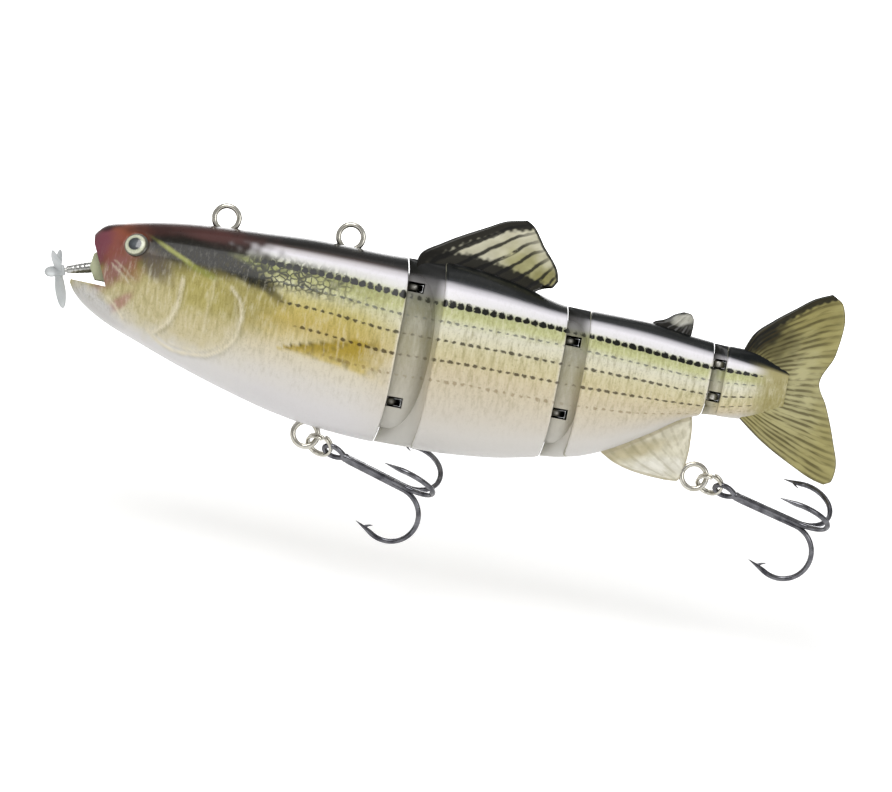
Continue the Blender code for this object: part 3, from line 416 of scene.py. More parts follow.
def joint_place(name: str) -> Array:
    """Where a joint's axis passes, in millimetres."""
    return np.array(next(joint for joint in frame["joints"] if joint["name"] == name)["pos_m"], float) / MM


# The form of the body

SECTION_POWER = 2.2  # of the superellipse that every cross-section follows
SEAM = 0.1  # between the left and right halves
WALL = 1.3

BACK = Outline((
    (-23.4, -14.8), (-22.2, -10.4), (-20.6, -6.4), (-19.0, -4.8), (-16.0, -3.9), (-10.0, -2.6), (-4.0, -1.8),
    (0.0, -1.5), (5.0, -1.2), (17.0, -0.6), (26.0, -0.7), (34.0, -0.5), (40.0, -0.2), (48.0, -1.2),
    (53.0, -2.4), (58.0, -3.4), (71.0, -3.5), (80.0, -4.5), (84.0, -4.8), (89.0, -4.9), (96.0, -7.0),
))
BELLY = Outline((
    (-23.4, -15.4), (-22.6, -16.6), (-21.0, -18.1), (-19.0, -19.4), (-16.0, -20.9), (-10.0, -23.1),
    (-4.0, -25.2), (5.0, -27.9), (14.0, -30.1), (20.0, -31.0), (30.0, -31.6), (40.0, -31.4), (50.0, -30.5),
    (58.0, -28.9), (62.0, -28.2), (68.0, -26.0), (75.0, -21.8), (81.0, -17.8), (84.0, -16.8), (89.0, -16.4),
    (96.0, -13.6),
))
HALF_WIDTH = Outline((
    (-23.4, 0.6), (-22.2, 2.4), (-20.6, 3.8), (-18.0, 5.0), (-13.0, 6.3), (-5.0, 7.7), (5.0, 8.5),
    (16.0, 9.0), (30.0, 9.0), (42.0, 8.7), (58.0, 7.4), (70.0, 5.8), (84.0, 3.7), (90.0, 2.2), (96.0, 0.8),
))
WIDEST_LEVEL = Outline((
    (-23.4, -15.1), (-20.6, -11.0), (-13.0, -11.5), (0.0, -13.5), (20.0, -15.0), (40.0, -15.0), (60.0, -14.2),
    (75.0, -12.2), (84.0, -10.8), (96.0, -10.4),
))


def section_limits(x: Array) -> tuple[Array, Array, Array, Array]:
    """Top, bottom, widest level and half width of the body at each x.

    Args:
        x: along the body.

    Returns:
        The four values at each x.
    """
    top, bottom = BACK(x), BELLY(x)
    room = 0.2 * (top - bottom)
    return top, bottom, np.clip(WIDEST_LEVEL(x), bottom + room, top - room), HALF_WIDTH(x)


def skin_width(x: Array, z: Array, inset: float = 0.0) -> Array:
    """Half width of the body at (x, z): w (1 - |h|^p)^(1/p), where h runs from 0 at the widest level to 1 at the
    back or belly, and p is the power of the section.

    Args:
        x: along the body.
        z: height.
        inset: how far inside the skin.

    Returns:
        The half width.
    """
    top, bottom, level, half = section_limits(x)
    reach = np.where(z > level, top - inset - level, level - bottom - inset)
    height = np.clip(np.abs(z - level) / np.maximum(reach, 0.01), 0, 1)
    return np.maximum(half - inset, 0) * (1 - height**SECTION_POWER) ** (1 / SECTION_POWER)


@dataclass(frozen=True)
class Hinge:
    """A hinge between two sections: a barrel on the rear one turns in a socket in the one ahead."""

    name: str
    shoulder: float
    edge_ahead: float
    bow: float
    rim: float
    cover: float
    clearance: float = 0.3
    eye_thick: float = 1.1
    slot_clearance: float = 0.3
    web: float = 0.5
    web_clearance: float = 0.02

    @property
    def x(self) -> float:
        """The axis."""
        return float(joint_place(f"{self.name}_hinge")[0])

    @property
    def edge(self) -> float:
        """Rear edge of the section ahead."""
        return self.x - self.edge_ahead

    @property
    def eye_heights(self) -> tuple[float, float]:
        """Levels of the upper and lower hinge eye."""
        upper, lower = (node_box(f"{self.name}_hinge_eye_{level}") for level in ("upper", "lower"))
        return float(upper[0][2] + upper[1][2]) / 2, float(lower[0][2] + lower[1][2]) / 2

    @property
    def plate(self) -> float:
        """Radius of the round end of a hinge eye."""
        return float(node_box(f"{self.name}_hinge_eye_upper")[1][0]) - self.x

    def socket(self) -> tuple[float, float, float, float]:
        """Radius, widest level, top and bottom of the socket."""
        top, bottom, level, half = (float(v) for v in section_limits(np.array(self.x)))
        return half - self.rim, level, top - self.cover, bottom + self.cover

    def radius(self, z: Array, inset: float = 0.0) -> Array:
        """Radius of the socket at each height, less the inset.

        Args:
            z: height.
            inset: how far inside the socket.

        Returns:
            The radius.
        """
        half, level, top, bottom = self.socket()
        reach = np.where(z > level, top - inset - level, level - bottom - inset)
        share = np.clip(np.abs(z - level) / reach, 0, 1)
        return (half - inset) * (1 - share**SECTION_POWER) ** (1 / SECTION_POWER)


FRONT_HINGE = Hinge("front", shoulder=37.9, edge_ahead=0.6, bow=1.1, rim=1.7, cover=2.2)
MIDDLE_HINGE = Hinge("middle", shoulder=62.5, edge_ahead=0.6, bow=0.8, rim=1.4, cover=2.0)
TAIL_HINGE = Hinge("tail", shoulder=85.5, edge_ahead=1.0, bow=0.4, rim=0.9, cover=1.2)


# Materials


# Numbers of the outputs of nodes that are asked for by number
OBJECT_PLACE = 3  # of the texture coordinates
FACTOR, ALPHA = 2, 3  # of an attribute

FINISH_COAT_ROUGHNESS = 0.06
FILM_SPECULAR = 0.12
FILM_IOR = 1.45


def add(tree: bpy.types.NodeTree, kind: str, inputs: dict | None = None, out: int = 0,
        **settings: object) -> bpy.types.NodeSocket:
    """Adds a node with its settings, values and links.

    Args:
        tree: the material's node tree.
        kind: the node's type.
        inputs: a value or another node's socket for each input's name or number.
        out: number of the output that is handed back.
        settings: the node's own properties.

    Returns:
        The output socket.
    """
    made = tree.nodes.new(kind)
    for key, value in settings.items():
        setattr(made, key, value)
    for key, value in (inputs or {}).items():
        if isinstance(value, bpy.types.NodeSocket):
            tree.links.new(value, made.inputs[key])
        else:
            made.inputs[key].default_value = value
    return made.outputs[out]


def new_material(name: str, **values: float) -> tuple[bpy.types.Material, bpy.types.NodeTree, bpy.types.Node]:
    """Starts a material on one Principled shader.

    Args:
        name: the material's name.
        values: the shader's uniform inputs, with _ for each space.

    Returns:
        The material, its node tree and its shader.
    """
    made = bpy.data.materials.new(name)
    made.use_nodes = True
    shader = made.node_tree.nodes["Principled BSDF"]
    for key, value in values.items():
        shader.inputs[key.replace("_", " ")].default_value = value
    return made, made.node_tree, shader


def dress_shader(tree: bpy.types.NodeTree, shader: bpy.types.Node, **sockets: bpy.types.NodeSocket) -> None:
    """Links sockets to the shader's inputs, whose names have _ for each space."""
    for key, socket in sockets.items():
        tree.links.new(socket, shader.inputs[key.replace("_", " ")])


@dataclass(frozen=True)
class Finish:
    """A finish on one Principled shader: a base colour that drifts between two tints, and a fine bump.

    Args:
        name: the material's name.
        tint: sRGB hex of the main colour.
        shade: sRGB hex that the colour drifts to.
        roughness: of the shader.
        metallic: of the shader.
        drift: size of the colour patches in millimetres.
        grain: size of the surface grain in millimetres.
        relief: height of the grain in millimetres.
        coat: weight of the clear coat.
        stretch: how much longer the grain is along each axis.
        transmission: share of light that passes through.
        ior: None on a metal, which keeps the shader's own.
    """

    name: str
    tint: str
    shade: str
    roughness: float
    metallic: float = 0.0
    drift: float = 3.0
    grain: float = 0.2
    relief: float = 0.004
    coat: float = 0.0
    stretch: tuple[float, float, float] = (1.0, 1.0, 1.0)
    transmission: float = 0.0
    ior: float | None = None

    def material(self) -> bpy.types.Material:
        """The finish as a material, made once.

        Returns:
            The material.
        """
        if self.name in bpy.data.materials:
            return bpy.data.materials[self.name]
        made, tree, shader = new_material(
            self.name, Metallic=self.metallic, Coat_Weight=self.coat, Coat_Roughness=FINISH_COAT_ROUGHNESS,
            Transmission_Weight=self.transmission,
        )
        place = add(tree, "ShaderNodeTexCoord", out=OBJECT_PLACE)
        scaled = add(tree, "ShaderNodeMapping", {0: place, 3: tuple(1 / s for s in self.stretch)})
        patches = add(tree, "ShaderNodeTexNoise", {"Vector": scaled, "Scale": 1 / (self.drift * MM), "Detail": 4.0})
        share = add(tree, "ShaderNodeMapRange", {0: patches, 1: 0.35, 2: 0.68})
        tone = add(tree, "ShaderNodeMix", {0: share, 6: linear(self.tint), 7: linear(self.shade)}, out=2,
                   data_type="RGBA")
        grain = add(tree, "ShaderNodeTexNoise", {"Vector": scaled, "Scale": 1 / (self.grain * MM), "Detail": 3.0})
        rough = add(tree, "ShaderNodeMapRange", {
            0: grain, 1: 0.3, 2: 0.75, 3: self.roughness * 0.8, 4: min(self.roughness * 1.35, 1.0),
        })
        bump = add(tree, "ShaderNodeBump", {"Height": grain, "Distance": self.relief * MM, "Strength": 1.0})
        dress_shader(tree, shader, Base_Color=tone, Roughness=rough, Normal=bump)
        if self.ior:
            shader.inputs["IOR"].default_value = self.ior
        return made

    def dress(self, piece: bpy.types.Object, slot: str) -> None:
        """Gives the piece this finish.

        Args:
            piece: the object.
            slot: not used.
        """
        piece.data.materials.clear()
        piece.data.materials.append(self.material())


# Bright nickel on drawn wire: a warm silver that mirrors the studio, with faint drawing lines along the wire
BRIGHT_NICKEL = Finish("bright_nickel_plated_wire", "d8d5cb", "b9b5a8", 0.16, 1.0, drift=1.2, grain=0.12)
# Black nickel on forged hook wire: nearly black, with sharp pale highlights along each wire
BLACK_NICKEL = Finish("black_nickel_plated_hook_wire", "7c7c80", "4a4a4f", 0.18, 1.0, drift=1.6, grain=0.15)
# Ground stainless tube and pins: bright, with rings left by the grinding
GROUND_STEEL = Finish("centreless_ground_stainless", "c9c9c6", "a8a8a4", 0.22, 1.0, drift=1.0, grain=0.1,
                      stretch=(0.3, 1.0, 1.0))
# Pressed steel plate: duller, with a rolled grain
PRESSED_STEEL = Finish("pressed_stainless_plate", "dedcd4", "bdbbb2", 0.38, 1.0, drift=0.8, grain=0.1)
# Frosted clear ABS, moulded in a blasted tool: cloudy pale grey that lets some light through
FROSTED_ABS = Finish("frosted_moulded_clear_abs", "e3e6e6", "cdd2d3", 0.34, drift=2.0, grain=0.1, relief=0.008,
                     transmission=0.35, ior=1.53)
# Pale green ABS of the bulkhead in the mouth, moulded in a polished tool
BULKHEAD_ABS = Finish("moulded_pale_green_abs", "c4c9a6", "a9ae8b", 0.3, drift=1.5, grain=0.2, coat=0.3, ior=1.53)


@dataclass(frozen=True)
class HiddenPart:
    """A node of the frame that stays as it is and only gets its finish."""

    node: str
    finish: Finish
    slot: str


LEAD_WEIGHT = Finish("cast_and_ground_steel_weight", "a9a9a8", "858584", 0.42, 1.0, drift=2.0, grain=0.25)
CELL_WRAP = Finish("heat_shrunk_pvc_cell_wrap", "3f6fb0", "35609b", 0.38, drift=3.0, grain=0.3, coat=0.3, ior=1.54)
SOLDER_MASK = Finish("solder_masked_glass_laminate", "2f6b45", "275a3a", 0.36, drift=2.0, grain=0.25, coat=0.3)
RED_LED = Finish("cast_epoxy_led", "d23a32", "b5302a", 0.18, drift=0.6, grain=0.2, coat=0.5, ior=1.54)
NITRILE = Finish("moulded_nitrile_rubber", "2b2b2b", "383838", 0.75, drift=1.0, grain=0.12, relief=0.01)
DRAWN_CAN = Finish("deep_drawn_plated_steel", "c4c4c0", "a6a6a2", 0.28, 1.0, drift=2.0, grain=0.15)
FERRITE = Finish("sintered_ferrite", "4a4a4c", "3c3c3e", 0.7, drift=1.0, grain=0.12, relief=0.008)
END_CAP = Finish("moulded_black_nylon", "1f1f21", "2b2b2d", 0.5, drift=1.0, grain=0.15)
WINDING = Finish("enamelled_copper_winding", "b46a3c", "8f4f2a", 0.35, 1.0, drift=0.6, grain=0.12, relief=0.02)
RED_LEAD = Finish("extruded_red_silicone", "b8302a", "9c2823", 0.5, drift=1.0, grain=0.12)
BLACK_LEAD = Finish("extruded_black_silicone", "202020", "2c2c2c", 0.5, drift=1.0, grain=0.12)

HIDDEN_PARTS = (
    HiddenPart("head_ballast", LEAD_WEIGHT, "steel"),
    HiddenPart("mid_ballast", LEAD_WEIGHT, "steel"),
    HiddenPart("battery_cell", CELL_WRAP, "battery_wrap"),
    HiddenPart("circuit_board", SOLDER_MASK, "board_green"),
    HiddenPart("status_led", RED_LED, "red_led"),
    HiddenPart("shaft_seal", NITRILE, "rubber"),
    HiddenPart("motor_can", DRAWN_CAN, "can_steel"),
    HiddenPart("motor_magnet", FERRITE, "ferrite"),
    HiddenPart("motor_end_cap", END_CAP, "black_insulation"),
    HiddenPart("motor_rotor", WINDING, "copper"),
    HiddenPart("motor_shaft", GROUND_STEEL, "steel"),
    HiddenPart("motor_lead_red", RED_LEAD, "red_insulation"),
    HiddenPart("motor_lead_black", BLACK_LEAD, "black_insulation"),
    HiddenPart("battery_lead_red", RED_LEAD, "red_insulation"),
    HiddenPart("battery_lead_black", BLACK_LEAD, "black_insulation"),
    HiddenPart("contact_lead_front", BLACK_LEAD, "black_insulation"),
    HiddenPart("contact_lead_rear", BLACK_LEAD, "black_insulation"),
)


# The print


BREAKUP = ((1.9, 0.7, 0.3), (-0.8, 1.6, 1.9), (3.3, -1.2, 4.1), (1.1, 3.7, 2.2))  # waves: along, up, phase


def breakup(x: Array, z: Array) -> Array:
    """A smooth wandering from about -1 to 1 that keeps sprayed edges from being too clean: the mean of sine waves
    that run in different directions."""
    return sum(np.sin(a * x + b * z + phase) for a, b, phase in BREAKUP) / len(BREAKUP) * 1.6


@dataclass(frozen=True)
class Spray:
    """An oval patch of sprayed colour.

    Args:
        tint: sRGB hex.
        centre: (x, z) in millimetres.
        radii: along its own length and across.
        tilt: degrees that its length rises towards the tail.
        strength: at its middle.
        soft: width of its edge, as a share of the radius.
    """

    tint: str
    centre: Pair
    radii: Pair
    tilt: float = 0.0
    strength: float = 1.0
    soft: float = 0.45

    def over(self, colour: Array, x: Array, z: Array) -> Array:
        """Lays the patch over a colour.

        Args:
            colour: one linear colour for each point.
            x: along the body.
            z: height.

        Returns:
            The new colours.
        """
        turn = math.radians(self.tilt)
        a = (x - self.centre[0]) * math.cos(turn) + (z - self.centre[1]) * math.sin(turn)
        b = (z - self.centre[1]) * math.cos(turn) - (x - self.centre[0]) * math.sin(turn)
        reach = np.hypot(a / self.radii[0], b / self.radii[1]) + 0.14 * breakup(x, z)
        share = self.strength * (1 - smooth_step(1 - self.soft, 1 + self.soft, reach))
        return washed(colour, self.tint, share)


# Heights of the lines that the print follows: the lower edge of the dark back, the five rows of spots
ROW_LINES: tuple[tuple[float, Outline], ...] = (
    (0.5, Outline((
        (-24.0, -9.0), (-10.0, -3.9), (0.0, -3.2), (10.0, -2.7), (30.0, -2.8), (45.0, -3.5), (58.0, -4.7),
        (70.0, -5.1), (83.0, -6.3), (96.0, -7.8),
    ))),
    (1.0, Outline((
        (-24.0, -12.0), (-10.0, -6.2), (0.0, -6.0), (10.0, -6.0), (20.0, -6.3), (31.0, -7.0), (45.0, -7.3),
        (58.0, -7.6), (70.0, -8.2), (83.0, -9.0), (96.0, -8.6),
    ))),
    (2.0, Outline((
        (-24.0, -13.0), (-10.0, -9.0), (0.0, -8.6), (10.0, -8.6), (20.0, -9.0), (31.0, -9.9), (45.0, -9.8),
        (58.0, -9.9), (70.0, -10.4), (83.0, -10.9), (96.0, -9.8),
    ))),
    (3.0, Outline((
        (-24.0, -14.0), (-10.0, -12.0), (0.0, -11.6), (12.0, -11.7), (20.0, -12.0), (31.0, -12.9),
        (45.0, -12.8), (58.0, -12.9), (70.0, -13.0), (83.0, -13.3), (96.0, -11.2),
    ))),
    (4.0, Outline((
        (-24.0, -15.0), (-10.0, -15.0), (0.0, -15.0), (15.0, -15.2), (31.0, -16.4), (45.0, -16.0),
        (58.0, -16.0), (70.0, -15.8), (83.0, -15.2), (96.0, -12.2),
    ))),
    (5.0, Outline((
        (-24.0, -16.0), (-10.0, -18.2), (0.0, -18.6), (15.0, -18.6), (31.0, -19.6), (45.0, -19.2),
        (58.0, -19.2), (70.0, -18.6), (83.0, -16.4), (96.0, -13.0),
    ))),
)
BELLY_ROW = 7.0
SPOT_PITCH = 1.38

# Colours down the flank and down the head, by row. On the flank the white band from row 0.57 to about 0.85, brightest
# at 0.68, is a painted highlight that stands in for the gloss reflection along the upper flank.
FLANK_COLOURS_WITH_HIGHLIGHT = (
    (0.0, "0b0f10"), (0.4, "101415"), (0.5, "34363a"), (0.57, "c9c6cc"), (0.68, "f4f1f6"), (0.85, "eae8e8"),
    (0.95, "c6c8a4"), (1.1, "b5b884"), (1.6, "c6c894"), (1.95, "d2d2b2"), (2.3, "dad7c2"), (2.75, "d9d4b8"),
    (3.2, "d0c8a2"), (3.8, "cfc49c"), (4.5, "d0c3a4"), (5.2, "cfc4ac"), (5.8, "d0c8b9"), (6.4, "d3cfc8"),
    (7.0, "cfcdca"),
)
# The same painted highlight band, rows 0.57 to 0.85, on the gold shoulder.
GOLD_COLOURS_WITH_HIGHLIGHT = (
    (0.0, "0d1011"), (0.4, "1a1614"), (0.5, "4a3f3c"), (0.57, "cfc9cc"), (0.68, "f4f1f6"), (0.85, "dcdcd2"),
    (0.95, "b4b67c"), (1.1, "979a5a"), (1.6, "b1b272"), (1.95, "c6c69a"), (2.3, "cdc89a"), (2.75, "c8bd7e"),
    (3.2, "c3b268"), (3.8, "c1ac62"), (4.5, "ccbd8a"), (5.2, "d6ccb2"), (5.8, "d8d3ca"), (6.4, "d8d5d4"),
    (7.0, "d3d1d2"),
)
NECK_COLOURS = (
    (0.0, "1b1c1c"), (0.5, "2c2c2b"), (0.8, "5b5a55"), (1.3, "7d7b70"), (2.2, "8f8c7c"), (3.5, "a19d8a"),
    (5.0, "b1ad9e"), (6.0, "bfbcb2"), (7.0, "c6c4be"),
)
HEAD_COLOURS = (
    (0.0, "14100f"), (0.3, "2c1c1a"), (0.6, "3a2825"), (0.9, "1f1b17"), (1.3, "24211b"), (1.8, "3b3625"),
    (2.2, "7a7345"), (2.6, "a9a067"), (3.2, "b9ae7a"), (4.0, "bdb285"), (4.8, "c9c0a0"), (5.6, "d6d0c0"),
    (6.3, "dbd8d4"), (7.0, "d8d6d6"),
)

HEAD_SPRAYS = (
    Spray("c4b98a", (-8.6, -15.5), (4.2, 4.6), soft=0.6, strength=0.8),  # cheek
    Spray("b3a865", (-0.5, -14.0), (4.8, 5.0), soft=0.5, strength=0.85),  # gill cover
    Spray("c9bd92", (-1.0, -19.0), (5.5, 3.0), soft=0.6, strength=0.8),  # its lower half
    Spray("9c9257", (7.0, -13.0), (4.5, 4.0), soft=0.6, strength=0.6),
    Spray("5f5650", (-9.8, -10.0), (3.2, 1.9), -35.0, 0.85, 0.6),  # shadow behind the eye
    Spray("4a2925", (-5.0, -3.2), (9.0, 1.2), 5.0, 0.8, 0.6),  # red-brown crown
    Spray("15120c", (-3.0, -6.8), (6.6, 2.1), -14.0, 1.0, 0.5),  # dark patch behind the eye
    Spray("100f0a", (4.4, -8.0), (5.0, 1.5), -24.0, 1.0, 0.5),
    Spray("1c1a14", (9.4, -10.2), (3.4, 0.9), -35.0, 0.7, 0.6),
    Spray("54302d", (-0.5, -3.4), (4.5, 0.8), 4.0, 0.7, 0.6),
    Spray("9a9d4a", (-6.4, -7.6), (4.2, 0.34), -24.0, 0.95, 0.7),  # yellow-green streaks
    Spray("8d9247", (-1.8, -9.6), (2.6, 0.5), -16.0, 0.8, 0.7),
    Spray("8b9247", (7.6, -6.6), (4.2, 0.6), -8.0, 0.75, 0.6),
    Spray("8b5c48", (-15.2, -10.2), (3.4, 2.2), -40.0, 0.9, 0.6),  # under the eye
    Spray("96543a", (-16.2, -5.6), (3.8, 2.0), 10.0, 0.9, 0.6),  # orange above the eye
    Spray("8a4f47", (-17.6, -8.4), (2.2, 3.4), 10.0, 0.9, 0.6),
    Spray("7a4450", (-19.6, -8.6), (1.5, 4.2), -12.0, 0.9, 0.5),  # mauve lip
    Spray("8d5f5f", (-16.8, -12.6), (1.5, 3.6), -38.0, 0.85, 0.6),  # jaw bone
    Spray("a97a70", (-14.6, -17.2), (0.8, 2.6), -42.0, 0.8, 0.5),
    Spray("2b1615", (-19.2, -5.0), (3.0, 0.9), 22.0, 0.9, 0.5),  # dark tip of the snout
    Spray("3a1f1c", (-12.0, -4.3), (4.0, 0.9), 8.0, 0.7, 0.6),
    Spray("cbc9c6", (-18.6, -18.4), (5.2, 2.0), -34.0, 0.95, 0.4),  # lower jaw
)


@dataclass(frozen=True)
class Pectoral:
    """The printed pectoral fin: a fan that opens aft of its tip, with dark rays and a dark upper edge."""

    tip: Pair = (12.0, -19.4)
    rise: float = 17.5
    fall: float = -4.0
    length: float = 16.5
    rays: int = 9
    tint: str = "a9902c"
    pale: str = "c9b56a"
    dark: str = "3d3413"

    def over(self, colour: Array, x: Array, z: Array) -> Array:
        """Lays the fin over a colour. A point's place in the fan is its angle and distance from the tip.

        Args:
            colour: one linear colour for each point.
            x: along the body.
            z: height.

        Returns:
            The new colours.
        """
        dx, dz = x - self.tip[0], z - self.tip[1]
        reach = np.hypot(dx, dz)
        angle = np.degrees(np.arctan2(dz, dx))
        bend = angle + 0.012 * reach**2
        share = (bend - self.fall) / (self.rise - self.fall)
        inside = smooth_step(-0.12, 0.1, share) * (1 - smooth_step(0.97, 1.03, share))
        inside *= smooth_step(0.0, 0.8, dx) * (1 - smooth_step(0.8, 1.15, reach / self.length + 0.06 * breakup(x, z)))
        tone = washed(np.array(linear(self.pale)), self.tint, smooth_step(0.05, 0.6, share))
        ray = smooth_step(0.6, 0.98, np.cos(2 * math.pi * self.rays * share))
        edge = smooth_step(0.86, 0.97, share) * (1 - smooth_step(0.3, 0.8, reach / self.length))
        ink = np.maximum(0.45 * ray, 0.95 * edge)
        return washed(colour, washed(tone, self.dark, ink), 0.92 * inside)


def ramp(stops: Sequence[tuple[float, str]], at: Array) -> Array:
    """Linear colours between (position, hex) stops.

    Args:
        stops: positions with their sRGB hex.
        at: where to read it.

    Returns:
        One colour for each place.
    """
    places = [place for place, _ in stops]
    tints = np.array([linear(tint) for _, tint in stops])
    return np.stack([np.interp(at, places, tints[:, k]) for k in range(4)], axis=-1)


def print_row(x: Array, z: Array) -> Array:
    """Which row of the print a point lies on: 0 at the back, 1 to 5 on the rows of spots and 7 at the belly. It
    grows evenly between the lines, as the sum of how far down each strip the point is.

    Args:
        x: along the body.
        z: height.

    Returns:
        The row, with its fraction.
    """
    numbers = [0.0] + [number for number, _ in ROW_LINES] + [BELLY_ROW]
    heights = [BACK(x)] + [line(x) for _, line in ROW_LINES] + [BELLY(x)]
    heights = np.minimum.accumulate([h - 0.05 * k for k, h in enumerate(heights)], axis=0)
    row = np.zeros_like(z)
    for k in range(len(numbers) - 1):
        share = np.clip((heights[k] - z) / (heights[k] - heights[k + 1]), 0, 1)
        row += share * (numbers[k + 1] - numbers[k])
    return row


# Raised lines of the gill cover and the jaw: points, height, half width
RIDGES = (
    (((-4.9, -11.2), (-4.9, -13.6), (-5.3, -16.7), (-6.4, -19.0), (-8.2, -20.8)), 0.3, 0.3),
    (((-9.1, -20.7), (-6.3, -22.5), (-3.0, -23.2), (0.4, -23.0), (3.5, -21.4), (5.3, -18.8), (5.7, -15.8),
      (5.0, -13.1), (3.3, -11.3)), 0.3, 0.3),
    (((-7.8, -20.5), (-4.9, -22.2), (-1.4, -22.5), (1.8, -21.5), (4.2, -19.2), (4.9, -16.3), (4.4, -13.8)), 0.16, 0.22),
    (((0.5, -10.3), (0.1, -13.5), (-0.1, -17.0), (-0.1, -19.0)), 0.12, 0.25),
    (((-16.8, -11.1), (-15.2, -12.2), (-13.5, -13.6)), 0.2, 0.16),
    (((-16.4, -10.4), (-14.7, -11.5), (-13.0, -12.9)), 0.16, 0.14),
    (((-16.6, -16.5), (-15.3, -17.6), (-13.5, -19.6)), 0.22, 0.22),
)
EYE_SOCKET_RIM = 0.22


def ridge_share(x: Array, z: Array) -> tuple[Array, Array]:
    """How near each point lies to the raised lines.

    A line's cross-section is h exp(-(d / w)^2), where d is the distance to the nearest of the points along it.

    Args:
        x: along the body.
        z: height.

    Returns:
        The height of the relief, and the share of full height from 0 to 1.
    """
    relief, share = np.zeros_like(x), np.zeros_like(x)
    for points, height, width in RIDGES:
        line = along_points(points, np.linspace(0, 1, 60))
        near = np.min(np.hypot(x[..., None] - line[:, 0], z[..., None] - line[:, 1]), axis=-1)
        bell = np.exp(-((near / width) ** 2))
        relief = np.maximum(relief, height * bell)
        share = np.maximum(share, bell * height / 0.3)
    return relief, share


